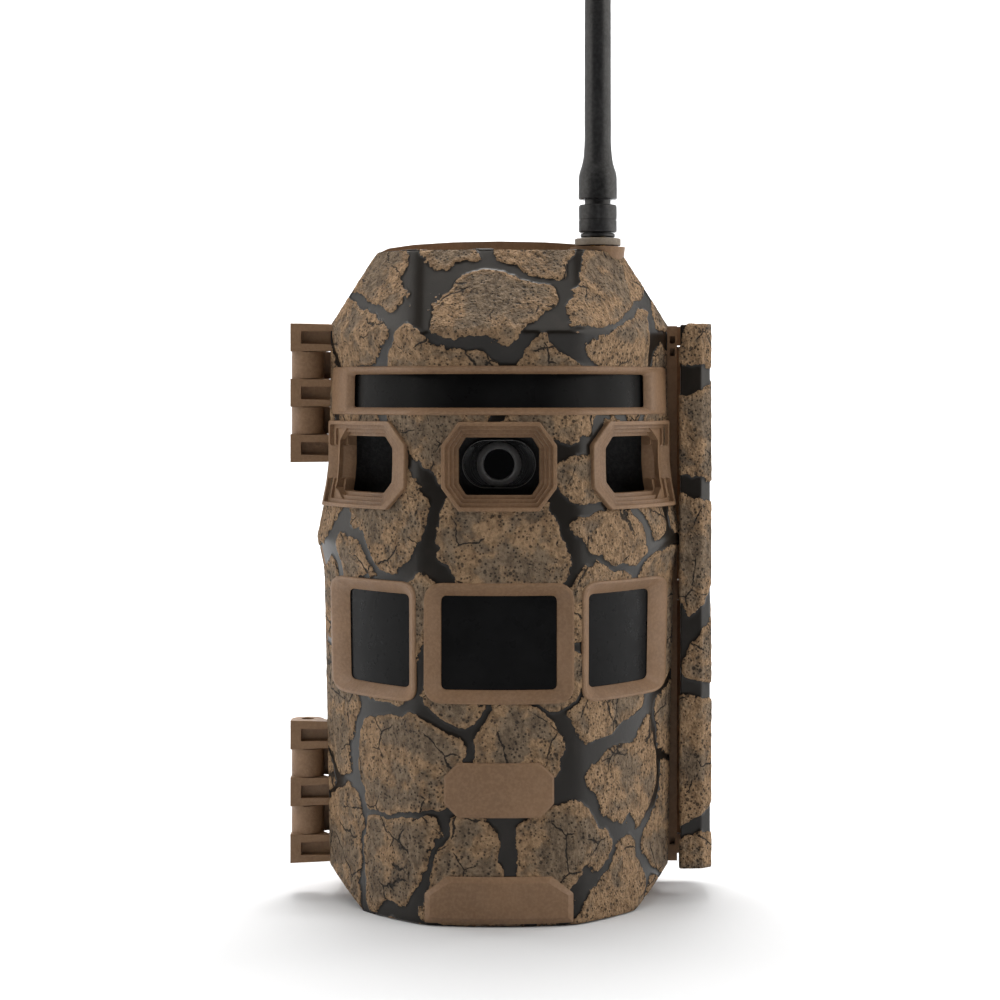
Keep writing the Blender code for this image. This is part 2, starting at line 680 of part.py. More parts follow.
def lens_turret():
    drum = [(-11.0, -20.0), (11.0, -20.0), (8.5, -6.5)] + arc(0, 0, 5.0, 0, 180, 8) + [
        (-8.5, -6.5)]
    turret = add_object("lens_turret", prism([(x, y + TURRET_Y) for x, y in drum],
                                             TURRET_Z), BLACK)
    weld(turret, prism(circle(AXLE_R, 14, 0.0, TURRET_Y), AXLE_Z))
    gear = [(x, y + TURRET_Y) for x, y in gear_plan(GEAR_TEETH, GEAR_R, PINION_ANGLE)]
    weld(turret, prism(gear, GEAR_Z))
    weld(turret, prism(circle(3.6, 16, 0.0, TURRET_Y), (103.0, 105.6)))
    cut(turret, turned([(4.6, 0.0), (4.6, 9.0)], 24, along_y(0.0, -16.5, LENS_Z)))

    back = FACE_Y[1]
    outline = rounded(-FACE_X, FACE_X, LENS_Z - FACE_UP, LENS_Z + FACE_UP, 5.6, 6)
    face = add_object("camera_face", slab(outline, FACE_Y), BLACK)
    cut(face, turned([(5.8, -1.0), (5.8, 6.0)], 28, along_y(0.0, back + 1.0, LENS_Z)))
    profile = [(4.3, 0.0), (5.4, 0.0), (5.4, 2.9), (5.1, 3.2), (4.6, 3.2), (4.1, 1.6)]
    ring = add_object("lens_ring", ring_of(profile, 28, along_y(0.0, back, LENS_Z)), BLACK)
    dome = [(3.8, -5.0), (3.8, 0.9), (3.3, 1.5), (2.3, 2.0), (1.1, 2.25), (0.3, 2.3)]
    glass = add_object("lens_glass", turned(dome, 24, along_y(0.0, back, LENS_Z)), GLASS)
    return [turret, face, ring, glass]


def pinion_place():
    return (GEAR_CENTRES * math.cos(PINION_ANGLE),
            TURRET_Y + GEAR_CENTRES * math.sin(PINION_ANGLE))


def turret_drive():
    x, y = pinion_place()
    half_tooth = math.pi / PINION_TEETH
    plan = gear_plan(PINION_TEETH, PINION_R, PINION_ANGLE + math.pi + half_tooth)
    pinion = add_object("turret_pinion", prism([(px + x, py + y) for px, py in plan],
                                               GEAR_Z), KEY)
    weld(pinion, prism(circle(0.8, 10, x, y), (97.0, 101.0)))
    motor = add_object("turret_motor", prism(circle(5.0, 20, x, y), (84.0, 96.6)), STEEL)
    return pinion, motor


# ---- battery case -------------------------------------------------------------------
def rear_shell():
    outer = [(CASE_Y, LIP), (9.0, LIP), (9.4, -0.6), (24.0, -1.4), (30.5, -4.5), (BACK_Y, -9.0)]
    shell = add_object("rear_shell", case_loft(outer, flat_to=24.0), BROWN, smooth=25.0)
    weld(shell, block((45.4, 48.6), (CASE_Y, 9.5), (FOOT_Z, SHOULDER_Z)))
    for side in (-1, 1):
        weld(shell, toothed_rail(side))
    cut(shell, case_loft([(CASE_Y - 3.0, -SLEEVE_INSET), (7.0, -SLEEVE_INSET)]))
    cut(shell, case_loft([(CASE_Y - 3.0, -POCKET_INSET), (23.0, -POCKET_INSET),
                          (POCKET_Y, -9.5)]))
    weld(shell, prism(circle(8.5, 24, 0.0, TRIPOD_Y), (1.0, 11.0)))
    cut(shell, prism(circle(TRIPOD_R + GAP, 24, 0.0, TRIPOD_Y), (-1.0, TRIPOD_HEIGHT + GAP)))
    cut(shell, prism(circle(PORT_R + GAP, 20, PORT_X, TRIPOD_Y), (-1.0, 8.0)))
    for low, high in STRAP_SLOTS:
        cut(shell, block((-40.0, 40.0), STRAP_Y, (low, high)))
    for z in (14.5, 147.8, 151.2):
        cut(shell, block((46.6, 48.0), (0.0, 6.5), (z - 1.0, z + 1.0)))
    for low, high in HINGES:
        weld_knuckles(shell, low, high, 1)
    cut_pins(shell)
    x, y = LATCH_AXIS
    for low, high in lug_spans():
        plan = arc(x, y, LATCH_R, -90, 90, 10) + [(44.0, y + 2.6), (44.0, y - 2.6)]
        weld(shell, prism(plan, (low, high)))
    cut(shell, prism(circle(LATCH_PIN_R + GAP, 12, x, y), (0.0, 170.0)))
    return shell


def toothed_rail(side):
    """A tree-gripping rail: saw teeth along its back edge."""
    low, high = RAIL_Z
    pitch = (high - low) / RAIL_TEETH
    profile = [(30.0, low), (RAIL_Y - 2 * TOOTH_DEPTH, low)]
    for i in range(RAIL_TEETH):
        foot = low + i * pitch
        profile += [(RAIL_Y, foot + 0.5 * pitch), (RAIL_Y - TOOTH_DEPTH, foot + pitch)]
    profile += [(30.0, high)]
    return loft([[(side * x, y, z) for y, z in profile] for x in RAIL_X])


def lug_spans():
    middle = (LATCH_LOW + LATCH_TOP) / 2
    return [(LATCH_LOW, LATCH_LOW + LUG_HEIGHT),
            (middle - LUG_HEIGHT / 2, middle + LUG_HEIGHT / 2),
            (LATCH_TOP - LUG_HEIGHT, LATCH_TOP)]


def latch_cover():
    plan = [(48.95, -2.6), (54.6, -2.6), (57.4, 0.4), (57.4, 21.5), (55.6, 24.6), (52.6, 24.6),
            (54.9, 21.0), (54.9, 1.4), (53.6, -0.2), (48.95, -0.2)]
    cover = add_object("latch_cover", prism(plan, (LATCH_LOW, LATCH_TOP)), CAMO, smooth=25.0)
    spans = lug_spans()
    for low, high in spans:
        cut(cover, block((48.0, 60.0), (17.2, 27.0), (low - 0.4, high + 0.4)))
    for below, above in zip(spans, spans[1:]):
        weld(cover, prism(circle(LATCH_R, 16, *LATCH_AXIS), (below[1] + 0.4, above[0] - 0.4)))
    cut(cover, prism(circle(LATCH_PIN_R + GAP, 12, *LATCH_AXIS), (0.0, 170.0)))
    return cover


def case_inside():
    gasket_rings = [[(x, y, z) for x, z in case_outline(out)]
                    for y, out in ((4.7, -2.8), (6.6, -2.8), (6.6, -4.5), (4.7, -4.5))]
    pieces = [add_object("gasket", loft(gasket_rings, ends=False), RUBBER)]

    tray = add_object("battery_tray", block((-TRAY_X, TRAY_X), TRAY_Y,
                                            (TRAY_LOW, TRAY_TOP)), CHARCOAL)
    for row in CELL_ROWS:
        cut(tray, block((TRAY_WALL - TRAY_X, TRAY_X - TRAY_WALL), (5.0, TRAY_Y[1] - 1.8),
                        (row - CELL_FOOT, row + CELL_LENGTH + 2.2)))
    pieces.append(tray)
    for bank, row in enumerate(CELL_ROWS):
        for column in range(4):
            x = (column - 1.5) * CELL_PITCH
            profile = [(6.2, 0.0), (CELL_R, 0.6), (CELL_R, CELL_LENGTH - 1.4),
                       (2.8, CELL_LENGTH - 1.4), (2.6, CELL_LENGTH)]
            if column % 2:
                profile = [(r, CELL_LENGTH - h) for r, h in reversed(profile)]
            place = Matrix.Translation((x, CELL_Y, row))
            pieces.append(add_object(f"battery_cell_{4 * bank + column + 1}",
                                     turned(profile, 16, place), CELL))
    for name, row in zip(("contact_lower", "contact_upper"), CELL_ROWS):
        foot = row - CELL_FOOT + GAP
        plate = add_object(name, block((-30.0, 30.0), (11.0, 24.0), (foot, foot + 0.6)), STEEL)
        for column in range(4):
            x = (column - 1.5) * CELL_PITCH
            tall = 4.3 if column % 2 == 0 else 3.0
            cone = [(4.0, foot + 0.3), (2.6, foot + tall)]
            weld(plate, turned(cone, 12, Matrix.Translation((x, CELL_Y, 0.0))))
        pieces.append(plate)
    insert = [(3.2, 0.0), (5.2, 0.0), (TRIPOD_R, 0.5), (TRIPOD_R, 8.4), (3.2, 8.4)]
    pieces.append(add_object("tripod_insert", ring_of(
        insert, 24, Matrix.Translation((0.0, TRIPOD_Y, 0.1))), BRASS))
    plug = [(PORT_R, 0.1), (PORT_R, 3.4), (3.4, 3.8), (3.4, 7.4), (2.8, 7.8)]
    pieces.append(add_object("power_port_plug", turned(
        plug, 20, Matrix.Translation((PORT_X, TRIPOD_Y, 0.0))), RUBBER))
    for name, (low, high) in zip(("hinge_pin_lower", "hinge_pin_upper"), HINGES):
        pieces.append(add_object(name, prism(circle(PIN_R, 14, *DOOR_AXIS),
                                             (low + 0.5, high - 0.5)), STEEL))
    pieces.append(add_object("latch_pin", prism(circle(LATCH_PIN_R, 12, *LATCH_AXIS),
                                                (LATCH_LOW + 0.4, LATCH_TOP - 0.4)), STEEL))
    return pieces


# ---- controls inside the door ----------------------------------------------------------
def controls():
    moving = []
    for name, x, z in KEYS:
        outline = rounded(x - KEY_X, x + KEY_X, z - KEY_Z, z + KEY_Z, 1.0, 3)
        cap = slab(outline, (0.9, 4.6))
        moving.append((add_object(name, cap, KEY), (x, 4.6, z)))
    slider = add_object("power_switch", block((21.2, 24.4), (0.8, 4.6), (50.0, 54.0)), KEY)
    moving.append((slider, (22.8, 4.6, 52.0)))
    card = add_object("sd_card", block((-12.0, 12.0), (-26.8, 5.2), (26.05, 28.15)), RUBBER)
    moving.append((card, (0.0, 5.2, 27.1)))
    return moving


# ---- assembly -----------------------------------------------------------------------------
def main():
    clear_scene()
    rear_shell()
    case_inside()

    latch = pivot("latch_axis", *LATCH_AXIS, LATCH_LOW)
    hang(latch_cover(), latch)

    door = pivot("door_axis", *DOOR_AXIS, HINGES[0][0])
    door_pieces = [front_shell()]
    door_pieces += pir_set("centre", PIR_OUTLINES[0], PIR_CENTRE, PIR_CENTRE_STILE)
    door_pieces += pir_set("right", PIR_OUTLINES[1], PIR_SIDE, PIR_SIDE_STILE)
    door_pieces += pir_set("left", PIR_OUTLINES[2], PIR_SIDE, PIR_SIDE_STILE, flip=True)
    low, high, *size = HOOD_SIDE
    door_pieces.append(stepped_hood("lens_hood_centre", *HOOD_CENTRE))
    door_pieces.append(stepped_hood("lens_hood_right", low, high, *size))
    door_pieces.append(stepped_hood("lens_hood_left", -high, -low, *size))
    door_pieces += ir_set() + badge_plates() + door_inside()
    antenna_pieces, nut = antenna_set()
    pinion, motor = turret_drive()
    for piece in door_pieces + antenna_pieces + [motor]:
        hang(piece, door)

    turret = pivot("turret_axis", 0.0, TURRET_Y, LENS_Z)
    for piece in lens_turret():
        hang(piece, turret)
    hang(pinion, pivot("pinion_axis", *pinion_place(), 100.0))
    hang(nut, pivot("antenna_axis", *ANTENNA, 180.0))
    for piece, place in controls():
        hang(piece, pivot(f"{piece.name}_axis", *place))


main()
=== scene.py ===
"""Looks of the trail camera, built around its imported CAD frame.

Outlines and offsets are in millimetres, as in the part's source, and become metres (MM)
when a mesh is made. Shader distances, lights and the camera are in metres.
"""
import json
import math

import bmesh
import bpy
import numpy as np
from mathutils import Matrix, Vector

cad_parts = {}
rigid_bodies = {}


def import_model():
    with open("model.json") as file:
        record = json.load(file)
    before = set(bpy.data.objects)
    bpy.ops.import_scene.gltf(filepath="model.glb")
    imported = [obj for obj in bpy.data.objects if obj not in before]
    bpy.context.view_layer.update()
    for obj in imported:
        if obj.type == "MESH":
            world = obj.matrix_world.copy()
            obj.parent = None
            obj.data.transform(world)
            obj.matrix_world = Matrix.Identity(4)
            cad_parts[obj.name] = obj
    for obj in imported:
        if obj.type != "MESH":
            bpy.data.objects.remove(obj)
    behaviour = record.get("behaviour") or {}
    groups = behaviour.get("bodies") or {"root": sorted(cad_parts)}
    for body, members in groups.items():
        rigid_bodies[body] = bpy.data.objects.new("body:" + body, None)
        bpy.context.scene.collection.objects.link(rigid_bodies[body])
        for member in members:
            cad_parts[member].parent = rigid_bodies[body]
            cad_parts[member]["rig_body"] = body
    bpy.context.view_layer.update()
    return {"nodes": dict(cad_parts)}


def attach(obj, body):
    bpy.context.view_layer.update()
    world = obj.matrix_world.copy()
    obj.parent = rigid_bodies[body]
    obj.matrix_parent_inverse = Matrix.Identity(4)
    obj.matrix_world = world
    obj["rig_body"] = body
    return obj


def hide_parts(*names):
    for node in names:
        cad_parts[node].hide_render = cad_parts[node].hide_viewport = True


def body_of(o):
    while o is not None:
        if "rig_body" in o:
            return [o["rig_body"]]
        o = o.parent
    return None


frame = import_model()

MM = 0.001

# ---- the door's skin, as in the part's source -----------------------------------
PART_Y = 4.0
FRONT_Y = -37.0
CREASE_X = 20.5
CENTRE_R, SIDE_R = 79.0, 86.0
SIDE_START = math.radians(40)
CREASE_BLEND = 3.0           # the direction outwards turns over this much each side of a crease
CREASE_SOFT = 2.0            # and the crease itself is rounded over this much
RIM_X = 45.6
TOP_Z, TOP_X, SHOULDER_Z = 174.6, 32.5, 155.0
FOOT_X, FOOT_Z = 35.7, 9.1
WAIST_Z = (9.0, 56.0, 88.0, 98.0, 113.0, 118.0, 175.0)
WAIST_X = (45.7, 46.5, 47.2, 47.9, 46.2, 45.6, 45.6)
BROW_Z, IR_TOP, IR_LOW, BROW_DEPTH = 152.4, 144.3, 131.0, 3.0
ROOF_SLOPE = 16.0 / 22.2
CREST_Z, CREST_RISE, CREST_OUT, CREST_START = 90.0, 8.0, 1.2, 22.0
CREST_RUN, CREST_END = 24.0, 113.0
PIR_LOW, PIR_TOP, PIR_RAIL = 57.0, 88.0, 3.4
HOOD_LOW, HOOD_TOP = 106.4, 129.3
HOOD_OUT, HOOD_BACK = 1.4, -5.0
LEDGES, TREAD, RISER = 4, 1.0, 1.25
SCOOP_IN, SCOOP_OUT = 4.2, 4.6    # the outer hoods' ledges stop this far from the lens's height
SCOOP_BULGE = 0.9
IR_REACH = 44.8
OUTER_FLARE = 1.6            # the side windows open this much further behind their outer stile
LENS_Z = 118.2
LENS_Y = -24.3
ANTENNA = (26.6, -4.3)
LATCH_LOW, LATCH_TOP, LUG_HEIGHT, LUG_Y = 8.4, 155.2, 5.2, 17.2
LATCH_MIDDLE = (53.0, 10.0)

# ---- relief of the cracked-earth pattern ------------------------------------------
GRID = 0.5                   # spacing of the mesh that carries the relief
PLATE_WIDE, PLATE_TALL = 25.0, 29.0
CORNER = 1.1                 # how much the plates' corners are rounded
PLATE_OUT, GROOVE_OUT = 0.30, -0.12
GROOVE_HALF, GROOVE_VARY = 1.6, 1.1
LATCH_GROOVE_HALF = 2.3
SEED = 11
SHELL_SINK = 0.5             # shells are drawn in this much under the relief
KNUCKLE_X, KNUCKLE_GROW = -46.3, 0.2
HOLLOW_X, HOLLOW_Y = -54.0, 3.5      # the door knuckles' hollows lie inside these
SCOOP_REACH = 4.0                    # how far in from a side hood's outer end the scoop runs
HOOD_FILLET = 0.4
HOOD_CUT_X, HOOD_CUT_Z = 4.4, 6.0    # a hood's corner cuts, which shrink with each ledge


# =============================== mesh helpers =====================================
def finish_object(name, mesh, look, smooth=None):
    mesh.shade_smooth()
    if smooth is not None:
        mesh.set_sharp_from_angle(angle=math.radians(smooth))
    mesh.materials.clear()
    mesh.materials.append(look)
    thing = bpy.data.objects.new(name, mesh)
    bpy.context.scene.collection.objects.link(thing)
    return thing


def mesh_object(name, points, faces, look, smooth=None):
    """An object from points in millimetres."""
    bm = bmesh.new()
    made = [bm.verts.new(Vector(p) * MM) for p in points]
    for face in faces:
        bm.faces.new([made[i] for i in face])
    bmesh.ops.recalc_face_normals(bm, faces=bm.faces)
    mesh = bpy.data.meshes.new(name)
    bm.to_mesh(mesh)
    bm.free()
    return finish_object(name, mesh, look, smooth)


def place(thing, body, slot, *replaced):
    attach(thing, body)
    if replaced:
        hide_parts(*replaced)
    return thing


def soften(thing, width, segments=2, angle=28.0):
    """Round a piece's edges and keep its flat faces flat."""
    step = thing.modifiers.new("soft_edges", "BEVEL")
    step.limit_method = "ANGLE"
    step.angle_limit = math.radians(angle)
    step.width = width * MM
    step.segments = segments
    step = thing.modifiers.new("flat_faces", "WEIGHTED_NORMAL")
    step.keep_sharp = True
    return thing


def bridge(rings, ends=True):
    """Faces between rings of equal length; ends=False joins the last ring to the first."""
    count, many = len(rings[0]), len(rings)
    points = [p for ring in rings for p in ring]
    faces = []
    for k in range(many - 1 if ends else many):
        low, high = k * count, ((k + 1) % many) * count
        for i in range(count):
            j = (i + 1) % count
            faces.append((low + i, low + j, high + j, high + i))
    if ends:
        faces += [tuple(range(count)), tuple(range((many - 1) * count, many * count))]
    return points, faces


def circle(radius, steps, cx=0.0, cy=0.0):
    angles = [2 * math.pi * i / steps for i in range(steps)]
    return [(cx + radius * math.cos(a), cy + radius * math.sin(a)) for a in angles]


def turned(name, profile, look, at=None, steps=64, smooth=35.0, ring=False):
    """Turn (radius, height) pairs about Z and move the result by the frame at."""
    at = at or Matrix.Identity(4)
    rings = [[at @ Vector((x, y, height)) for x, y in circle(radius, steps)]
             for radius, height in profile]
    return mesh_object(name, *bridge(rings, ends=not ring), look, smooth)


def forward(x, y, z):
    """Frame at a point with its Z axis along -Y."""
    return Matrix.Translation((x, y, z)) @ Matrix.Rotation(math.radians(90), 4, "X")


def backward(x, y, z):
    """Frame at a point with its Z axis along +Y."""
    return Matrix.Translation((x, y, z)) @ Matrix.Rotation(math.radians(-90), 4, "X")


def rectangle(low, high, bottom, top):
    return [(high, bottom), (high, top), (low, top), (low, bottom)]


def octagon(low, high, bottom, top, cut_x, cut_z):
    return [(high - cut_x, bottom), (high, bottom + cut_z), (high, top - cut_z),
            (high - cut_x, top), (low + cut_x, top), (low, top - cut_z),
            (low, bottom + cut_z), (low + cut_x, bottom)]


def filleted(corners, radius, steps=4, parts=6):
    """A closed outline through corners, each rounded, with every side split into parts."""
    corners = [Vector(c) for c in corners]
    turns = []
    for i, here in enumerate(corners):
        before, after = corners[i - 1] - here, corners[(i + 1) % len(corners)] - here
        start = here + before.normalized() * min(radius, 0.45 * before.length)
        stop = here + after.normalized() * min(radius, 0.45 * after.length)
        shares = [k / steps for k in range(steps + 1)]
        turns.append([start * (1 - t) ** 2 + here * 2 * t * (1 - t) + stop * t * t
                      for t in shares])
    points = []
    for i, turn in enumerate(turns):
        leap = turns[(i + 1) % len(turns)][0] - turn[-1]
        points += turn + [turn[-1] + leap * k / parts for k in range(1, parts)]
    return [tuple(p) for p in points]


def slab(name, outline, low, high, look, axis="Y", smooth=30.0):
    """Extrude an outline between two depths along Y, or between two heights along Z."""
    if axis == "Y":
        rings = [[(u, depth, z) for u, z in outline] for depth in (low, high)]
    else:
        rings = [[(x, y, height) for x, y in outline] for height in (low, high)]
    return mesh_object(name, *bridge(rings), look, smooth)


def box(name, x, y, z, look, width=0.2):
    """A block with rounded edges."""
    corners = [(x[0], y[0]), (x[1], y[0]), (x[1], y[1]), (x[0], y[1])]
    return soften(slab(name, corners, *z, look, axis="Z"), width)


def carried(node, look, slot, width=0.2, segments=2, reshape=None):
    """A CAD node's own shape with softened edges; reshape may change the copy first."""
    bm = bmesh.new()
    bm.from_mesh(frame["nodes"][node].data)
    bmesh.ops.remove_doubles(bm, verts=bm.verts, dist=2e-6)
    if reshape is not None:
        reshape(bm)
    bmesh.ops.dissolve_limit(bm, angle_limit=math.radians(0.4), verts=bm.verts,
                             edges=bm.edges)
    mesh = bpy.data.meshes.new(f"{node}_look")
    bm.to_mesh(mesh)
    bm.free()
    thing = finish_object(f"{node}_look", mesh, look, smooth=32.0)
    if width:
        soften(thing, width, segments)
    return place(thing, body_of(frame["nodes"][node])[0], slot, node)


# =============================== noise and cracks ==================================
def hashed(ix, iy, seed):
    """A fixed number in 0..1 for each pair of whole numbers."""
    n = (ix.astype(np.int64) * 374761393 + iy.astype(np.int64) * 668265263
         + seed * 974634777) & 0xFFFFFFFF
    n = ((n ^ (n >> 13)) * 1274126177) & 0xFFFFFFFF
    n = ((n ^ (n >> 15)) * 2246822519) & 0xFFFFFFFF
    return ((n ^ (n >> 16)) & 0xFFFFFF) / float(0xFFFFFF)


def noise(a, b, cell, seed):
    """Smooth noise in -1..1 on a plane."""
    x, y = a / cell, b / cell
    ix, iy = np.floor(x), np.floor(y)
    fx, fy = x - ix, y - iy
    fx, fy = fx * fx * (3 - 2 * fx), fy * fy * (3 - 2 * fy)
    low = hashed(ix, iy, seed) * (1 - fx) + hashed(ix + 1, iy, seed) * fx
    high = hashed(ix, iy + 1, seed) * (1 - fx) + hashed(ix + 1, iy + 1, seed) * fx
    return 2 * (low * (1 - fy) + high * fy) - 1


def border(a, b, wide, tall, jitter, seed):
    """Distance to the nearest border between the cells of a jittered lattice."""
    column, row = np.floor(a / wide), np.floor(b / tall)
    places = []
    for dx in range(-2, 3):
        for dy in range(-2, 3):
            cx, cy = column + dx, row + dy
            across = (cx + 0.5 + 0.5 * (cy % 2) + jitter * (hashed(cx, cy, seed) - 0.5)) * wide
            up = (cy + 0.5 + jitter * (hashed(cx, cy, seed + 7) - 0.5)) * tall
            places.append((across, up))
    px, py = np.stack([p[0] for p in places]), np.stack([p[1] for p in places])
    far = (px - a) ** 2 + (py - b) ** 2
    nearest, index = far.argmin(axis=0), np.arange(len(a))
    apart = np.hypot(px - px[nearest, index], py - py[nearest, index])
    gap = (far - far[nearest, index]) / (2 * np.maximum(apart, 1e-6))
    gap[apart < 1e-6] = np.inf
    nearest_gap = gap.min(axis=0)
    return nearest_gap - CORNER * np.log(np.exp((nearest_gap - gap) / CORNER).sum(axis=0))


def crack_field(a, b, half=GROOVE_HALF, seed=SEED):
    """How far each point lies inside its plate; negative in a groove."""
    cells = (15.0, 4.6, 1.9, 1.1)
    shares = (4.6, 1.3, 0.45, 0.30)
    wa, wb = a.copy(), b.copy()
    for k, (cell, share) in enumerate(zip(cells, shares)):
        wa += share * noise(a, b, cell, seed + k)
        wb += share * noise(a, b, cell, seed + 10 + k)
    half = half + GROOVE_VARY * noise(a, b, 19.0, seed + 6)
    return border(wa, wb, PLATE_WIDE, PLATE_TALL, 1.0, seed + 20) - half


def relief(plate, a, b, seed=SEED):
    """Height of the skin over its nominal surface: pitted plates over smooth grooves."""
    rise = np.clip(plate / 0.6 + 0.3, 0.0, 1.0)
    rise = rise * rise * (3 - 2 * rise)
    rough = sum(share * noise(a, b, cell, seed + 60 + k)
                for k, (cell, share) in enumerate(((6.0, 0.06), (2.4, 0.05), (1.2, 0.07))))
    return GROOVE_OUT + (PLATE_OUT - GROOVE_OUT + rough) * rise


# =============================== the door's skin ====================================
def lean(z):
    """How far the skin runs back at a height."""
    roof = (z - BROW_Z) * ROOF_SLOPE
    brow = BROW_DEPTH * (BROW_Z - z) / (BROW_Z - IR_TOP)
    shelf = BROW_DEPTH * (z - IR_LOW) / (IR_TOP - IR_LOW)
    return np.select([z > BROW_Z, z > IR_TOP, z > IR_LOW], [roof, brow, shelf], 0.0)


def crest(u, z):
    """The side facets swell to a slanting ridge above the motion windows."""
    reach = np.maximum(0.0, np.abs(u) - CREST_START) / CREST_RUN
    ridge, low = CREST_Z + CREST_RISE * reach, PIR_TOP + 0.8
    share = np.where(z < ridge, (z - low) / (ridge - low), (CREST_END - z) / (CREST_END - ridge))
    return CREST_OUT * np.minimum(1.0, reach * 2.5) * np.clip(share, 0.0, 1.0)


def skin(u, z, out=0.0):
    """Points of the skin at front view positions (u, z), moved out along the plan normal."""
    u, z, out = np.broadcast_arrays(*(np.asarray(v, float) for v in (u, z, out)))
    side = np.abs(u)
    crease_turn = math.asin(CREASE_X / CENTRE_R)
    crease_y = FRONT_Y + CENTRE_R * (1 - math.cos(crease_turn))
    side_cx = CREASE_X - SIDE_R * math.sin(SIDE_START)
    side_cy = crease_y + SIDE_R * math.cos(SIDE_START)
    inner = np.arcsin(np.minimum(side, CREASE_X) / CENTRE_R)
    outer = np.arcsin(np.clip((np.maximum(side, CREASE_X) - side_cx) / SIDE_R, -1, 1))
    y = np.where(side > CREASE_X, side_cy - SIDE_R * np.cos(outer),
                 FRONT_Y + CENTRE_R * (1 - np.cos(inner)))
    near = np.maximum(0.0, CREASE_SOFT - np.abs(side - CREASE_X))
    y = y + (math.tan(SIDE_START) - math.tan(crease_turn)) / (4 * CREASE_SOFT) * near ** 2
    share = np.clip((side - CREASE_X + CREASE_BLEND) / (2 * CREASE_BLEND), 0.0, 1.0)
    facing = inner * (1 - share) + outer * share
    mitre = 1 / math.cos((SIDE_START - crease_turn) / 2) - 1
    reach = out * (1 + mitre * (1 - np.abs(2 * share - 1))) + crest(u, z)
    x, y = side + reach * np.sin(facing), y - reach * np.cos(facing)
    waist = (np.interp(z, WAIST_Z, WAIST_X) - CREASE_X) / (RIM_X - CREASE_X)
    x = np.where(x > CREASE_X, CREASE_X + (x - CREASE_X) * waist, x)
    y = np.minimum(y + lean(z), PART_Y - np.where(out >= 0, 0.9, 0.5))
    return np.stack([np.sign(u) * x, y, z], axis=-1)


def bottom_at(u):
    return np.maximum(0.0, (np.abs(u) - FOOT_X) * FOOT_Z / (RIM_X - FOOT_X))


def top_at(u):
    return TOP_Z - np.maximum(0.0, np.abs(u) - TOP_X) * (TOP_Z - SHOULDER_Z) / (RIM_X - TOP_X)


def pir_outline(low, high, inset=0.0, radius=5.0):
    return filleted(rectangle(low + inset, high - inset, PIR_LOW + inset, PIR_TOP - inset),
                    radius, steps=8, parts=14)


def hood_outline(tag, ledge=0):
    """The outline of a hood's mouth, or of one of the ledges that step down inside it."""
    low, high, inner_tread, outer_tread = HOOD_FRAMES[tag]
    shrink = ledge * TREAD
    bottom, top = HOOD_LOW + shrink, HOOD_TOP - shrink
    cut_x, cut_z = HOOD_CUT_X - 0.6 * shrink, HOOD_CUT_Z - 0.75 * shrink
    inner, outer = low + ledge * inner_tread, high - ledge * outer_tread
    if tag == "centre":
        return filleted(octagon(inner, outer, bottom, top, cut_x, cut_z), HOOD_FILLET,
                        steps=3, parts=8)
    corners = [(inner, bottom + cut_z), (inner + cut_x, bottom), (outer, bottom)]
    corners += [(outer, LENS_Z + step) for step in (-SCOOP_OUT, -SCOOP_IN, SCOOP_IN, SCOOP_OUT)]
    corners += [(outer, top), (inner + cut_x, top), (inner, top - cut_z)]
    if tag == "left":
        corners = [(-u, z) for u, z in reversed(corners)]
    return filleted(corners, HOOD_FILLET, steps=3, parts=6)


PIR_FRAMES = {"centre": (-19.2, 19.2, 3.9, 5.0), "right": (21.2, 43.6, 3.2, 4.0),
              "left": (-43.6, -21.2, 3.2, 4.0)}
HOOD_FRAMES = {"centre": (-14.65, 14.65, 0.9, 0.9), "right": (23.5, 45.0, 1.55, 0.52),
               "left": (23.5, 45.0, 1.55, 0.52)}
BADGE_CORNERS = [(13.5, 0.9), (18.9, 0.9), (18.9, 8.4), (13.5, 12.9), (-13.5, 12.9),
                 (-18.9, 8.4), (-18.9, 0.9), (-13.5, 0.9)]
PAD_CORNERS = octagon(-14.0, 14.0, 28.0, 42.0, 3.5, 3.5)
IR_CORNERS = rectangle(-IR_REACH, IR_REACH, IR_LOW, IR_TOP - 0.6)


def cut_outlines():
    """Everything let into the skin."""
    outlines = [pir_outline(low, high, radius=radius)
                for low, high, _, radius in PIR_FRAMES.values()]
    outlines += [hood_outline(tag) for tag in HOOD_FRAMES]
    return outlines + [filleted(corners, 0.6) for corners in
                       (BADGE_CORNERS, PAD_CORNERS, IR_CORNERS)]


def grown(outline, out):
    """Scale an outline about its middle so that it grows by a distance on every side."""
    us, zs = [u for u, _ in outline], [z for _, z in outline]
    middle_u, middle_z = (min(us) + max(us)) / 2, (min(zs) + max(zs)) / 2
    wide, tall = 1 + 2 * out / (max(us) - min(us)), 1 + 2 * out / (max(zs) - min(zs))
    return [(middle_u + (u - middle_u) * wide, middle_z + (z - middle_z) * tall)
            for u, z in outline]


def inside(u, z, outline):
    """Which points lie inside a closed outline."""
    hit = np.zeros(u.shape, bool)
    for (ax, az), (bx, bz) in zip(outline, outline[1:] + outline[:1]):
        if abs(bz - az) > 1e-9:
            hit ^= ((az > z) != (bz > z)) & (u < ax + (z - az) * (bx - ax) / (bz - az))
    return hit


def vertex_normals(points, quads):
    diagonal = np.cross(points[quads[:, 2]] - points[quads[:, 0]],
                        points[quads[:, 3]] - points[quads[:, 1]])
    normals = np.zeros_like(points)
    for corner in range(4):
        np.add.at(normals, quads[:, corner], diagonal)
    return normals / np.maximum(np.linalg.norm(normals, axis=1, keepdims=True), 1e-12)


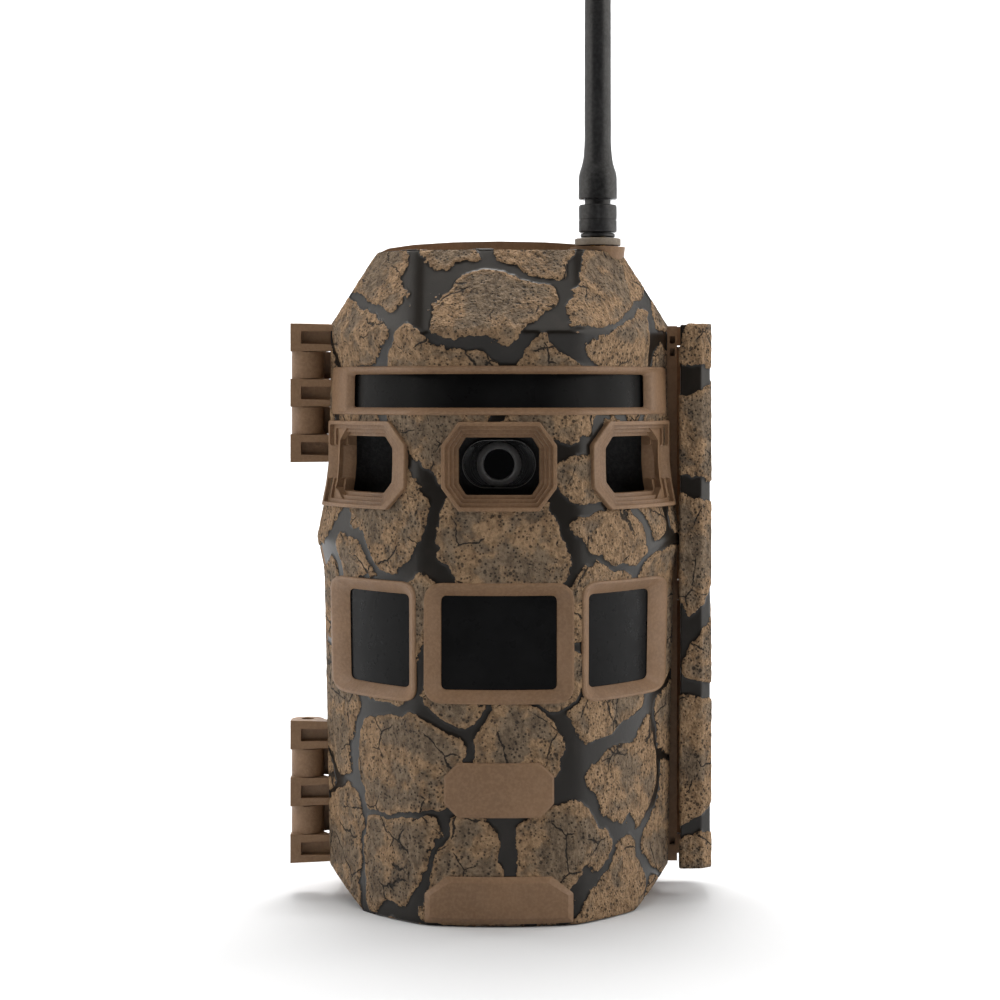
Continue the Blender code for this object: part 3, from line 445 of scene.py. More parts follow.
def smoothed(points, quads, rounds, fixed):
    """Relax points towards their neighbours, which rounds every edge of the skin."""
    pairs = np.concatenate([quads[:, [k, (k + 1) % 4]] for k in range(4)])
    for _ in range(rounds):
        total, count = np.zeros_like(points), np.zeros(len(points))
        for a, b in ((0, 1), (1, 0)):
            np.add.at(total, pairs[:, a], points[pairs[:, b]])
            np.add.at(count, pairs[:, a], 1)
        mean = total / np.maximum(count, 1)[:, None]
        points = np.where(fixed[:, None], points, (points + mean) / 2)
    return points


def grid_quads(ids):
    return np.stack([ids[:-1, :-1], ids[1:, :-1], ids[1:, 1:], ids[:-1, 1:]],
                    axis=-1).reshape(-1, 4)


def relief_object(name, points, quads, a, b, look, rounds, fixed, outward, half=GROOVE_HALF):
    """Raise the cracked plates on a mesh of quads and keep their field for the shader."""
    base = smoothed(points, quads, rounds, fixed)
    normals = vertex_normals(base, quads)
    if (normals[quads[0, 0]] * outward).sum() < 0:
        normals, quads = -normals, quads[:, ::-1]
    plate = crack_field(a, b, half)
    moved = base + normals * relief(plate, a, b)[:, None]
    moved[:, 2] = np.maximum(moved[:, 2], 0.0)
    used, index = np.unique(quads, return_inverse=True)
    mesh = bpy.data.meshes.new(name)
    mesh.from_pydata((moved[used] * MM).tolist(), [], index.reshape(-1, 4).tolist())
    store = mesh.attributes.new("plate", "FLOAT", "POINT")
    store.data.foreach_set("value", plate[used].astype(np.float32))
    return finish_object(name, mesh, look)


def door_skin(look):
    """The outer face of the door, wrapped round its edges to the parting line."""
    fine = np.linspace(-RIM_X, RIM_X, 4001)
    path = skin(fine, 60.0)[:, :2]
    run = np.concatenate([[0], np.cumsum(np.linalg.norm(np.diff(path, axis=0), axis=1))])
    columns, rows = int(run[-1] / GRID) + 1, int(TOP_Z / GRID) + 1
    along = np.linspace(0, run[-1], columns)
    stops = np.interp(along, run, fine)
    share = np.linspace(0, 1, rows)
    z = bottom_at(stops)[:, None] + (top_at(stops) - bottom_at(stops))[:, None] * share
    u = np.repeat(stops[:, None], rows, axis=1)
    flat = skin(u, z).reshape(-1, 3)
    a = np.repeat(along[:, None] - run[-1] / 2, rows, axis=1).ravel()
    b = (z + 0.35 * lean(z)).ravel()
    ids = np.arange(u.size).reshape(u.shape)
    quads = grid_quads(ids)
    middle_u, middle_z = u.ravel()[quads].mean(axis=1), z.ravel()[quads].mean(axis=1)
    gone = np.zeros(len(quads), bool)
    for outline in cut_outlines():
        gone |= inside(middle_u, middle_z, grown(outline, -0.9))
    quads = quads[~gone]

    edge = np.concatenate([ids[:, 0], ids[-1, 1:], ids[-2::-1, -1], ids[0, -2:0:-1]])
    start = flat[edge]
    depth = PART_Y - 0.5 - start[:, 1]
    steps = int(math.ceil(depth.max() / (1.4 * GRID)))
    on_side = np.isin(edge, np.concatenate([ids[0], ids[-1]]))
    on_top = np.isin(edge, ids[:, -1]) & ~on_side
    rings, points, all_a, all_b = [edge], [flat], [a], [b]
    for k in range(1, steps + 1):
        back = depth * k / steps
        rings.append(len(flat) + (k - 1) * len(edge) + np.arange(len(edge)))
        points.append(start + back[:, None] * np.array([0.0, 1.0, 0.0]))
        all_a.append(a[edge] + np.where(on_side, np.sign(a[edge]) * back, 0.0))
        all_b.append(b[edge] + np.where(on_side, 0.0, np.where(on_top, back, -back)))
    around = np.array(rings)
    around = np.concatenate([around, around[:, :1]], axis=1)
    walls = grid_quads(around)[:, ::-1]
    points = np.concatenate(points)
    fixed = np.zeros(len(points), bool)
    fixed[rings[-1]] = True
    thing = relief_object("door_camouflage_skin", points, np.concatenate([quads, walls]),
                          np.concatenate(all_a), np.concatenate(all_b), look, 5, fixed,
                          np.array([0.0, -1.0, 0.0]))
    return place(thing, "door", "camo_plastic")


# =============================== materials =========================================
class Look:
    """A material on one Principled shader, with short ways to add nodes to it."""

    def __init__(self, name, roughness=0.5, metallic=0.0, **sockets):
        self.material = bpy.data.materials.new(name)
        self.material.use_nodes = True
        self.tree = self.material.node_tree
        self.shader = self.tree.nodes["Principled BSDF"]
        self.shader.inputs["Roughness"].default_value = roughness
        self.shader.inputs["Metallic"].default_value = metallic
        for key, value in sockets.items():
            self.shader.inputs[key.replace("_", " ")].default_value = value
        self.place = self.node("ShaderNodeTexCoord").outputs["Object"]

    def node(self, kind, **settings):
        made = self.tree.nodes.new(kind)
        for key, value in settings.items():
            setattr(made, key, value)
        return made

    def feed(self, socket, value):
        if isinstance(value, bpy.types.NodeSocket):
            self.tree.links.new(value, socket)
        else:
            socket.default_value = value

    def use(self, **values):
        for key, value in values.items():
            self.feed(self.shader.inputs[key.replace("_", " ")], value)
        return self

    def noise(self, size, detail=3.0, rough=0.55, stretch=None, colour=False):
        """Noise whose features are about size metres across, in 0..1."""
        made = self.node("ShaderNodeTexNoise")
        where = self.place
        if stretch is not None:
            scaled = self.node("ShaderNodeVectorMath", operation="MULTIPLY")
            self.feed(scaled.inputs[0], where)
            scaled.inputs[1].default_value = stretch
            where = scaled.outputs[0]
        for key, value in (("Vector", where), ("Scale", 1.0 / size), ("Detail", detail),
                           ("Roughness", rough)):
            self.feed(made.inputs[key], value)
        return made.outputs["Color" if colour else 0]

    def cells(self, size, randomness=1.0, feature="F1", warp=0.0):
        """Distance to scattered points about size metres apart, or to their cells' borders."""
        made = self.node("ShaderNodeTexVoronoi", feature=feature)
        where = self.place
        if warp:
            bent = self.node("ShaderNodeVectorMath", operation="MULTIPLY_ADD")
            self.feed(bent.inputs[0], self.noise(0.3 * size, detail=4.0, colour=True))
            bent.inputs[1].default_value = (warp,) * 3
            self.feed(bent.inputs[2], where)
            where = bent.outputs[0]
        for key, value in (("Vector", where), ("Scale", 1.0 / size),
                           ("Randomness", randomness)):
            self.feed(made.inputs[key], value)
        return made.outputs["Distance"]

    def attribute(self, name):
        return self.node("ShaderNodeAttribute", attribute_name=name).outputs["Fac"]

    def math(self, operation, *values):
        made = self.node("ShaderNodeMath", operation=operation)
        for socket, value in zip(made.inputs, values):
            self.feed(socket, value)
        return made.outputs[0]

    def span(self, value, low, high, to_low=0.0, to_high=1.0, kind="SMOOTHSTEP"):
        """Remap value from low..high to to_low..to_high, held at both ends."""
        made = self.node("ShaderNodeMapRange", interpolation_type=kind)
        for socket, given in zip(made.inputs, (value, low, high, to_low, to_high)):
            self.feed(socket, given)
        return made.outputs[0]

    def mix(self, share, first, second, blend="MIX"):
        made = self.node("ShaderNodeMix", data_type="RGBA", blend_type=blend)
        for index, value in ((0, share), (6, first), (7, second)):
            self.feed(made.inputs[index], value)
        return made.outputs[2]

    def bump(self, height, distance, under=None, strength=1.0):
        made = self.node("ShaderNodeBump")
        for key, value in (("Height", height), ("Distance", distance), ("Strength", strength)):
            self.feed(made.inputs[key], value)
        if under is not None:
            self.feed(made.inputs["Normal"], under)
        return made.outputs[0]

    def wear(self, low=0.53, high=0.62):
        """1 on sharp outward edges, 0 elsewhere."""
        return self.span(self.node("ShaderNodeNewGeometry").outputs["Pointiness"], low, high)


def linear(red, green, blue):
    """A colour given in 0..255 as seen, as the shader wants it."""
    values = [v / 255.0 for v in (red, green, blue)]
    return (*[v / 12.92 if v < 0.04045 else ((v + 0.055) / 1.055) ** 2.4 for v in values], 1.0)


TAN_LIGHT, TAN = linear(160, 131, 100), linear(132, 106, 79)
ASH, ASH_DARK = linear(126, 108, 88), linear(98, 83, 67)
GROOVE, GROOVE_DUST = linear(26, 22, 18), linear(44, 39, 34)
BROWN, BROWN_LIGHT, BROWN_DARK = linear(130, 101, 75), linear(147, 117, 88), linear(118, 91, 67)


def camouflage():
    """Bark-like plates, grainy and tan at their rims and greyer inside, over dark grooves; painted
    shade darkens the grain's hollows and the pits.
    """
    look = Look("camouflage", Specular_IOR_Level=0.28)
    edge = look.math("ADD", look.attribute("plate"),
                     look.math("MULTIPLY_ADD", look.noise(0.0013, detail=2.0), 1.6, -0.8))
    on_plate = look.span(edge, -0.05, 0.06)
    line = look.math("ADD", look.cells(0.014, feature="DISTANCE_TO_EDGE", warp=0.0030),
                     look.span(look.noise(0.011, detail=2.0), 0.45, 0.60, 0.0, 0.05))
    crack = look.math("MULTIPLY", look.span(line, 0.008, 0.018, 1.0, 0.0), on_plate)

    rim = look.span(edge, 0.3, 2.6, 1.0, 0.0)
    patch = look.span(look.noise(0.012, detail=5.0, rough=0.6), 0.46, 0.56)
    tan = look.math("MAXIMUM", patch, look.math("MULTIPLY", rim, 0.85))
    grain = look.noise(0.0009, detail=2.0)
    bark = look.noise(0.0021, detail=3.0, rough=0.6, stretch=(1.0, 1.0, 0.6))
    crowd = look.span(look.noise(0.008, detail=3.0), 0.35, 0.65, -0.03, 0.06)
    small = look.span(look.math("SUBTRACT", look.cells(0.00105), crowd), 0.16, 0.30)
    large = look.span(look.math("SUBTRACT", look.cells(0.0026), crowd), 0.10, 0.17)
    pits = look.math("MINIMUM", small, large)

    high = look.mix(look.span(bark, 0.36, 0.60), TAN, TAN_LIGHT)
    low = look.mix(look.span(bark, 0.36, 0.60), ASH_DARK, ASH)
    colour = look.mix(tan, low, high)
    # painted shade: the colour is darkened where the grain is low, in its hollows
    painted_grain_shade = look.span(grain, 0.36, 0.56, 0.70, 1.0)
    colour = look.mix(1.0, colour, painted_grain_shade, blend="MULTIPLY")
    # painted shade: the pits are painted three quarters of the way to the groove colour
    colour = look.mix(look.math("MULTIPLY", look.math("SUBTRACT", 1.0, pits), 0.75), colour,
                      GROOVE)
    dust = look.span(look.noise(0.007, detail=4.0), 0.48, 0.72, 0.0, 0.35)
    colour = look.mix(on_plate, look.mix(dust, GROOVE, GROOVE_DUST), colour)
    colour = look.mix(look.math("MULTIPLY", crack, 0.92), colour, GROOVE)

    rough = look.span(on_plate, 0.0, 1.0, 0.28, 0.78)
    height = look.math("ADD", look.math("MULTIPLY", pits, 0.28),
                       look.math("MULTIPLY", grain, look.span(tan, 0.0, 1.0, 0.8, 1.2)))
    height = look.math("ADD", height, look.math("MULTIPLY", bark, 1.3))
    height = look.math("SUBTRACT", height, look.math("MULTIPLY", crack, 0.35))
    height = look.math("MULTIPLY", height, look.math("MULTIPLY_ADD", on_plate, 0.985, 0.015))
    return look.use(Base_Color=colour, Roughness=rough,
                    Normal=look.bump(height, 0.0010)).material


def moulded(name, colour, light, dark, roughness=0.55, grain=0.0005, depth=0.00008):
    """Moulded plastic: fine spark-eroded grain, uneven tone, and edges rubbed pale."""
    look = Look(name, Specular_IOR_Level=0.4)
    tone = look.span(look.noise(0.016, detail=5.0, rough=0.65), 0.35, 0.68)
    speckle = look.noise(grain * 1.6, detail=3.0)
    paint = look.mix(tone, dark, colour)
    paint = look.mix(look.span(speckle, 0.38, 0.66, 0.0, 0.35), paint, light)
    paint = look.mix(look.math("MULTIPLY", look.wear(), 0.22), paint, light)
    scuff = look.span(look.noise(0.004, detail=6.0, rough=0.75), 0.62, 0.74, 0.0, 0.18)
    paint = look.mix(scuff, paint, light)
    rough = look.span(look.noise(0.006, detail=4.0), 0.3, 0.7, roughness - 0.08,
                      roughness + 0.10)
    height = look.math("ADD", look.noise(grain, detail=2.0),
                       look.math("MULTIPLY", look.noise(grain * 5.0), 0.5))
    return look.use(Base_Color=paint, Roughness=rough,
                    Normal=look.bump(height, depth)).material


def dark_window(name, tint=(0.0050, 0.0051, 0.0054, 1.0)):
    """Dark infrared-pass plastic, polished with the faintest ripple and haze."""
    look = Look(name, Specular_IOR_Level=0.06)
    haze = look.span(look.noise(0.010, detail=4.0), 0.35, 0.7)
    colour = look.mix(haze, tint, (0.0075, 0.0076, 0.0080, 1.0))
    rough = look.math("ADD", look.span(look.noise(0.0035, detail=6.0), 0.3, 0.7, 0.26, 0.34),
                      look.span(look.noise(0.0009), 0.62, 0.75, 0.0, 0.10))
    return look.use(Base_Color=colour, Roughness=rough,
                    Normal=look.bump(look.noise(0.009, detail=1.0), 0.00003)).material


def lens_glass():
    """Coated front element: near black, with a faint violet and green painted reflection of its
    coating that grows towards grazing view.
    """
    look = Look("lens_glass", roughness=0.06, Coat_Weight=0.25, Coat_Roughness=0.03,
                Specular_IOR_Level=0.3)
    facing = look.node("ShaderNodeLayerWeight")
    facing.inputs["Blend"].default_value = 0.35
    painted_coating_reflection = look.mix(look.span(look.noise(0.004, detail=1.0), 0.3, 0.7),
                     (0.010, 0.012, 0.030, 1.0), (0.008, 0.022, 0.020, 1.0))
    # painted reflection: the coating's tint is painted into the colour and grows as the surface
    # turns away from view
    colour = look.mix(facing.outputs["Facing"], (0.002, 0.002, 0.003, 1.0), painted_coating_reflection)
    return look.use(Base_Color=colour).material


def metal(name, colour, roughness=0.28, brush=(1.0, 1.0, 0.08)):
    """Turned or drawn metal with fine brushing and a little tarnish."""
    look = Look(name, metallic=1.0)
    streak = look.noise(0.0008, detail=4.0, stretch=brush)
    tarnish = look.span(look.noise(0.003, detail=5.0, rough=0.7), 0.42, 0.72)
    shade = tuple(v * 0.62 for v in colour[:3]) + (1.0,)
    rough = look.math("ADD", look.span(streak, 0.3, 0.7, roughness - 0.06, roughness + 0.10),
                      look.math("MULTIPLY", tarnish, 0.12))
    return look.use(Base_Color=look.mix(look.math("MULTIPLY", tarnish, 0.6), colour, shade),
                    Roughness=rough, Normal=look.bump(streak, 0.00002)).material


def rubber():
    look = Look("soft_rubber", Specular_IOR_Level=0.3, Sheen_Weight=0.15)
    dust = look.span(look.noise(0.004, detail=6.0, rough=0.75), 0.5, 0.72)
    colour = look.mix(dust, (0.012, 0.012, 0.013, 1.0), (0.045, 0.043, 0.041, 1.0))
    rough = look.span(look.noise(0.001), 0.3, 0.7, 0.68, 0.86)
    return look.use(Base_Color=colour, Roughness=rough,
                    Normal=look.bump(look.noise(0.0006, detail=4.0), 0.00010)).material


def circuit_board():
    """Green solder mask over a maze of copper tracks."""
    look = Look("circuit_board", roughness=0.35, Coat_Weight=0.3, Coat_Roughness=0.2)
    across = look.node("ShaderNodeTexVoronoi", distance="CHEBYCHEV",
                       feature="DISTANCE_TO_EDGE")
    for key, value in (("Vector", look.place), ("Scale", 420.0), ("Randomness", 0.55)):
        look.feed(across.inputs[key], value)
    track = look.span(across.outputs["Distance"], 0.05, 0.09, 1.0, 0.0)
    holes = look.span(look.cells(0.0045), 0.05, 0.075, 1.0, 0.0)
    colour = look.mix(look.noise(0.012), (0.006, 0.050, 0.020, 1.0), (0.010, 0.075, 0.030, 1.0))
    colour = look.mix(look.math("MULTIPLY", track, 0.7), colour, (0.030, 0.160, 0.060, 1.0))
    colour = look.mix(holes, colour, (0.42, 0.34, 0.16, 1.0))
    return look.use(Base_Color=colour, Normal=look.bump(track, 0.00003)).material


def display_glass():
    """Switched-off liquid crystal panel: dark, with its pixel grid just visible."""
    look = Look("display_glass", roughness=0.12, Coat_Weight=0.8, Coat_Roughness=0.05)
    grid = look.node("ShaderNodeTexVoronoi", distance="CHEBYCHEV")
    for key, value in (("Vector", look.place), ("Scale", 3200.0), ("Randomness", 0.0)):
        look.feed(grid.inputs[key], value)
    colour = look.mix(look.span(grid.outputs["Distance"], 0.25, 0.5),
                      (0.020, 0.024, 0.030, 1.0), (0.012, 0.014, 0.018, 1.0))
    smear = look.span(look.noise(0.012, detail=5.0, rough=0.7), 0.40, 0.70, 0.08, 0.22)
    return look.use(Base_Color=colour, Roughness=smear).material


def cell_sleeve():
    """Printed shrink sleeve: a dark body with one copper-coloured band along the cell."""
    look = Look("cell_sleeve", metallic=0.55, Coat_Weight=0.3, Coat_Roughness=0.15)
    height = look.node("ShaderNodeSeparateXYZ")
    look.feed(height.inputs[0], look.place)
    phase = look.math("FRACT", look.math("MULTIPLY", look.math("SUBTRACT", height.outputs["Z"],
                                                              0.027), 1 / 0.0555))
    band = look.math("GREATER_THAN", phase, 0.66)
    wrinkle = look.noise(0.0012, detail=4.0, stretch=(1.0, 1.0, 0.3))
    colour = look.mix(band, (0.020, 0.022, 0.026, 1.0), (0.50, 0.24, 0.09, 1.0))
    colour = look.mix(look.span(look.noise(0.006, detail=4.0), 0.5, 0.8, 0.0, 0.3), colour,
                      (0.10, 0.10, 0.10, 1.0))
    rough = look.span(wrinkle, 0.3, 0.7, 0.22, 0.38)
    return look.use(Base_Color=colour, Roughness=rough,
                    Normal=look.bump(wrinkle, 0.00003)).material


def make_looks():
    grey, pale, deep = (0.012, 0.012, 0.013, 1.0), (0.050, 0.050, 0.052, 1.0), (0.006,) * 3 + (1.0,)
    return {
        "camo": camouflage(),
        "brown": moulded("brown_plastic", BROWN, BROWN_LIGHT, BROWN_DARK),
        "black": moulded("black_plastic", grey, pale, deep, roughness=0.42, grain=0.0003,
                         depth=0.00003),
        "satin": moulded("satin_black", (0.016, 0.016, 0.017, 1.0), pale, deep, roughness=0.36,
                         grain=0.0006, depth=0.00001),
        "charcoal": moulded("charcoal_plastic", (0.030, 0.030, 0.032, 1.0),
                            (0.075, 0.075, 0.078, 1.0), (0.020, 0.020, 0.021, 1.0),
                            roughness=0.58),
        "face": moulded("face_black", (0.0045,) * 3 + (1.0,), (0.014,) * 3 + (1.0,),
                        (0.003,) * 3 + (1.0,), roughness=0.30, grain=0.0006, depth=0.00001),
        "ring": moulded("ring_plastic", (0.130, 0.130, 0.131, 1.0), (0.18,) * 3 + (1.0,),
                        (0.105,) * 3 + (1.0,), roughness=0.42, grain=0.0006, depth=0.00001),
        "collar": moulded("collar_plastic", linear(128, 117, 104), linear(152, 142, 128),
                          linear(106, 96, 84), roughness=0.5),
        "key": moulded("key_plastic", (0.27, 0.27, 0.26, 1.0), (0.42, 0.42, 0.40, 1.0),
                       (0.20, 0.20, 0.19, 1.0), roughness=0.5, grain=0.0003, depth=0.00003),
        "mark": moulded("key_mark", (0.025, 0.025, 0.026, 1.0), (0.05, 0.05, 0.05, 1.0),
                        (0.015, 0.015, 0.015, 1.0), roughness=0.6),
        "chip": moulded("chip_resin", (0.018, 0.018, 0.019, 1.0), (0.04, 0.04, 0.04, 1.0),
                        (0.012, 0.012, 0.012, 1.0), roughness=0.5, grain=0.0002, depth=0.00002),
        "card": moulded("card_plastic", (0.030, 0.032, 0.040, 1.0), (0.08, 0.08, 0.09, 1.0),
                        (0.020, 0.021, 0.026, 1.0), roughness=0.4, grain=0.0003,
                        depth=0.00002),
        "window": dark_window("dark_window"),
        "glass": lens_glass(),
        "display": display_glass(),
        "board": circuit_board(),
        "steel": metal("bright_steel", (0.56, 0.57, 0.58, 1.0)),
        "brass": metal("brass", (0.66, 0.46, 0.18, 1.0)),
        "gold": metal("gold_contacts", (0.80, 0.58, 0.24, 1.0), roughness=0.2),
        "rubber": rubber(),
        "sleeve": cell_sleeve(),
    }


# =============================== the front of the door ================================
def rings_on_skin(levels):
    return [skin([u for u, _ in outline], [z for _, z in outline], out)
            for outline, out in levels]


def set_in(node, levels, look, slot="brown_plastic", name=None, ends=False, smooth=28.0,
           reshape=None):
    """A piece whose cross-section follows the skin round an outline."""
    rings = rings_on_skin(levels)
    points, faces = bridge(reshape(rings) if reshape else rings, ends=ends)
    thing = mesh_object(name or f"{node}_look", points, faces, look, smooth)
    return place(thing, "door", slot, node)


def draw_in(bm, moving):
    """Sink the outward faces of a shell, so that a relief skin covers them."""
    bm.normal_update()
    moves = {}
    for vert in bm.verts:
        faces = [f for f in vert.link_faces if moving(vert.co, f.calc_center_median(), f.normal)]
        if faces:
            normal = sum((f.normal for f in faces), Vector()).normalized()
            moves[vert] = vert.co - normal * SHELL_SINK * MM
    for vert, point in moves.items():
        vert.co = point


def close_knuckles(bm):
    """Lengthen the hinge knuckles a little, so that no daylight shows between them."""
    bm.normal_update()
    for vert in bm.verts:
        level = [f.normal.z for f in vert.link_faces if abs(f.normal.z) > 0.9]
        hollow = vert.co.x > HOLLOW_X * MM and vert.co.y < HOLLOW_Y * MM
        if level and vert.co.x < KNUCKLE_X * MM and not hollow:
            vert.co.z += math.copysign(KNUCKLE_GROW * MM, sum(level))


def door_shell(look):
    middle = Vector((0.0, 20.0, 90.0)) * MM

    def moving(place, centre, normal):
        hinge = place.x < KNUCKLE_X * MM or place.z > (TOP_Z + 0.1) * MM
        outward = normal.dot(centre - middle) > 4.0 * MM and (centre - middle).length > 30.0 * MM
        return outward and not hinge and place.y < (PART_Y - 0.05) * MM

    def reshape(bm):
        draw_in(bm, moving)
        close_knuckles(bm)

    return carried("front_shell", look, "brown_plastic", width=0.25, reshape=reshape)


def pir_windows(looks):
    """Frames that slope in to the motion windows like a bevelled picture frame."""
    for tag, (low, high, stile, radius) in PIR_FRAMES.items():
        outer = pir_outline(low, high, radius=radius)
        facing = {"left": -1, "right": 1}.get(tag, 0)
        inner = rectangle(low + stile, high - stile, PIR_LOW + PIR_RAIL, PIR_TOP - PIR_RAIL)
        opening = filleted(inner, 1.6, steps=8, parts=14)
        behind = [(u + facing * OUTER_FLARE * (facing * (u - (low + high) / 2) > 0), z)
                  for u, z in opening]
        set_in(f"pir_bezel_{tag}", [
            (outer, -2.0), (outer, 0.35), (grown(outer, -0.16), 0.6), (grown(outer, -0.45), 0.68),
            (grown(outer, -0.75), 0.62), (grown(opening, 0.12), -1.7), (opening, -1.95),
            (behind, -3.4)], looks["brown"])
        stops = np.linspace(low + 1.6, high - 1.6, 33)
        pane(f"pir_window_{tag}", stops, PIR_LOW + 1.6, PIR_TOP - 1.6, -3.5, -2.2,
             looks["window"])


def pane(node, stops, bottom, top, back, front, look, round_arc=False):
    """A curved sheet behind an opening; as one round arc it ignores the skin's creases."""
    rings = [skin([u] * 4, [bottom, bottom, top, top], [back, front, front, back])
             for u in stops]
    if round_arc:
        middle, end = rings[len(rings) // 2], rings[0]
        across, fall = end[:, 0] - middle[:, 0], end[:, 1] - middle[:, 1]
        radius = (across ** 2 + fall ** 2) / (2 * fall)
        for ring in rings:
            ring[:, 1] = middle[:, 1] + radius - np.sqrt(radius ** 2 - ring[:, 0] ** 2)
    thing = mesh_object(f"{node}_look", *bridge(rings), look, 30.0)
    return place(thing, "door", "window_black", node)


def lens_hoods(look):
    for tag in HOOD_FRAMES:
        outer = hood_outline(tag)
        levels = [(outer, HOOD_BACK), (outer, HOOD_OUT - 0.2), (grown(outer, -0.16), HOOD_OUT)]
        for i in range(1, LEDGES + 1):
            step = hood_outline(tag, i)
            top = HOOD_OUT - (i - 1) * RISER
            foot = HOOD_BACK if i == LEDGES else top - RISER
            levels += [(grown(step, 0.08), top), (step, top - 0.08), (step, foot)]
        set_in(f"lens_hood_{tag}", levels, look, reshape=None if tag == "centre" else scoop)


def scoop(rings):
    """Level the ledges at the outer end of a side hood, so that the lens sees past them."""
    mouth, foot = rings[2], rings[-1]
    z, u = mouth[:, 2], np.abs(mouth[:, 0])
    share = np.clip((SCOOP_OUT - np.abs(z - LENS_Z)) / (SCOOP_OUT - SCOOP_IN), 0.0, 1.0)
    share = (share * (u > u.max() - SCOOP_REACH))[:, None]
    for i, ring in enumerate(rings[2:]):
        way = i / (len(rings) - 3)
        ramp = mouth + (foot - mouth) * way
        ramp[:, 1] -= 4 * SCOOP_BULGE * way * (1 - way)
        ring += (ramp - ring) * share
    return rings


def emitter_band(looks):
    outer = filleted(IR_CORNERS, 1.0, steps=5, parts=48)
    opening = filleted(rectangle(-39.6, 39.6, 132.9, 141.6), 0.6, steps=5, parts=48)
    flare = grown(opening, 0.75)
    behind = filleted(rectangle(-41.4, 41.4, 132.9, 141.6), 0.6, steps=5, parts=48)
    set_in("ir_bezel", [
        (outer, -2.6), (outer, 0.35), (grown(outer, -0.2), 0.62), (grown(outer, -0.5), 0.72),
        (grown(flare, 0.3), 0.5), (flare, 0.25), (grown(opening, 0.06), -1.0),
        (opening, -1.2), (behind, -3.4)], looks["brown"])
    pane("ir_window", np.linspace(-41.5, 41.5, 91), 131.6, 142.8, -3.8, -2.4,
         looks["window"], round_arc=True)


def plates(look):
    """The blank name plate and the blank octagonal pad, each with a wide chamfer."""
    for node, corners, stand, chamfer in (("badge_plate", BADGE_CORNERS, 1.4, 1.5),
                                          ("emblem_pad", PAD_CORNERS, 0.9, 0.5)):
        outer = filleted(corners, 0.35, steps=3, parts=10)
        levels = [(outer, -0.9), (outer, stand - 0.55 * chamfer),
                  (grown(outer, -0.06), stand - 0.52 * chamfer),
                  (grown(outer, -chamfer + 0.08), stand - 0.04),
                  (grown(outer, -chamfer), stand)]
        panel = grown(outer, -chamfer)
        middle_u = sum(u for u, _ in panel) / len(panel)
        middle_z = sum(z for _, z in panel) / len(panel)
        for share in np.linspace(0.92, 0.02, 12):
            shape = [(middle_u + (u - middle_u) * share, middle_z + (z - middle_z) * share)
                     for u, z in panel]
            levels.append((shape, stand))
        set_in(node, levels, look, ends=True, smooth=18.0)


# =============================== the latch =============================================
def latch(looks):
    """The side latch: its own camouflage skin over the moulded cover."""

    def moving(place, centre, normal):
        away = Vector((centre.x - LATCH_MIDDLE[0] * MM, centre.y - LATCH_MIDDLE[1] * MM, 0.0))
        return abs(normal.z) < 0.5 and normal.dot(away) > 2.0 * MM and place.x > 48.0 * MM

    carried("latch_cover", looks["brown"], "brown_plastic", width=0.3,
            reshape=lambda bm: draw_in(bm, moving))
    corners = [Vector(p) for p in ((48.95, -1.2), (48.95, -2.6), (54.6, -2.6), (57.4, 0.4),
                                   (57.4, 21.5), (55.6, 24.6), (53.0, 24.6))]
    path = []
    for start, stop in zip(corners, corners[1:]):
        parts = max(1, round((stop - start).length / GRID))
        path += [start.lerp(stop, k / parts) for k in range(parts)]
    path.append(corners[-1])
    run = np.concatenate([[0], np.cumsum([(q - p).length for p, q in zip(path, path[1:])])])
    heights = np.linspace(LATCH_LOW, LATCH_TOP, int((LATCH_TOP - LATCH_LOW) / GRID) + 1)
    rows = np.concatenate([[heights[0]], heights, [heights[-1]]])
    plan = np.array([[p.x, p.y] for p in path])
    inward = np.array(LATCH_MIDDLE) - plan
    inward /= np.linalg.norm(inward, axis=1, keepdims=True)
    points = np.zeros((len(path), len(rows), 3))
    points[:, :, :2] = plan[:, None, :]
    points[:, (0, -1), :2] += 0.9 * inward[:, None, :]
    points[:, :, 2] = rows
    ids = np.arange(len(path) * len(rows)).reshape(len(path), len(rows))
    quads = grid_quads(ids)
    centre = points.reshape(-1, 3)[quads].mean(axis=1)
    keep = np.ones(len(quads), bool)
    for low, high in lug_spans():
        keep &= ~((centre[:, 1] > LUG_Y) & (centre[:, 2] > low - 0.4) & (centre[:, 2] < high + 0.4))
    a = np.repeat(58.0 + run[:, None], len(rows), axis=1).ravel()
    b = np.repeat(rows[None, :], len(path), axis=0).ravel() + 40.0
    fixed = np.zeros(ids.size, bool)
    fixed[ids[:, (0, -1)].ravel()] = True
    fixed[ids[(0, -1), :].ravel()] = True
    skin_piece = relief_object("latch_camouflage_skin", points.reshape(-1, 3), quads[keep], a, b,
                               looks["camo"], 1, fixed, np.array([0.3, -1.0, 0.0]),
                               LATCH_GROOVE_HALF)
    place(skin_piece, "latch", "camo_plastic")


def lug_spans():
    middle = (LATCH_LOW + LATCH_TOP) / 2
    return [(LATCH_LOW, LATCH_LOW + LUG_HEIGHT),
            (middle - LUG_HEIGHT / 2, middle + LUG_HEIGHT / 2),
            (LATCH_TOP - LUG_HEIGHT, LATCH_TOP)]


# =============================== camera and antenna ====================================
def stadium(radius, length, depth, steps=96):
    """A ring of points: two half circles of a radius set apart by twice a length."""
    ring = []
    for i in range(steps):
        angle = 2 * math.pi * (i + 0.5) / steps
        apart = math.copysign(length, math.cos(angle))
        ring.append((apart + radius * math.cos(angle), depth,
                     LENS_Z + radius * math.sin(angle)))
    return ring


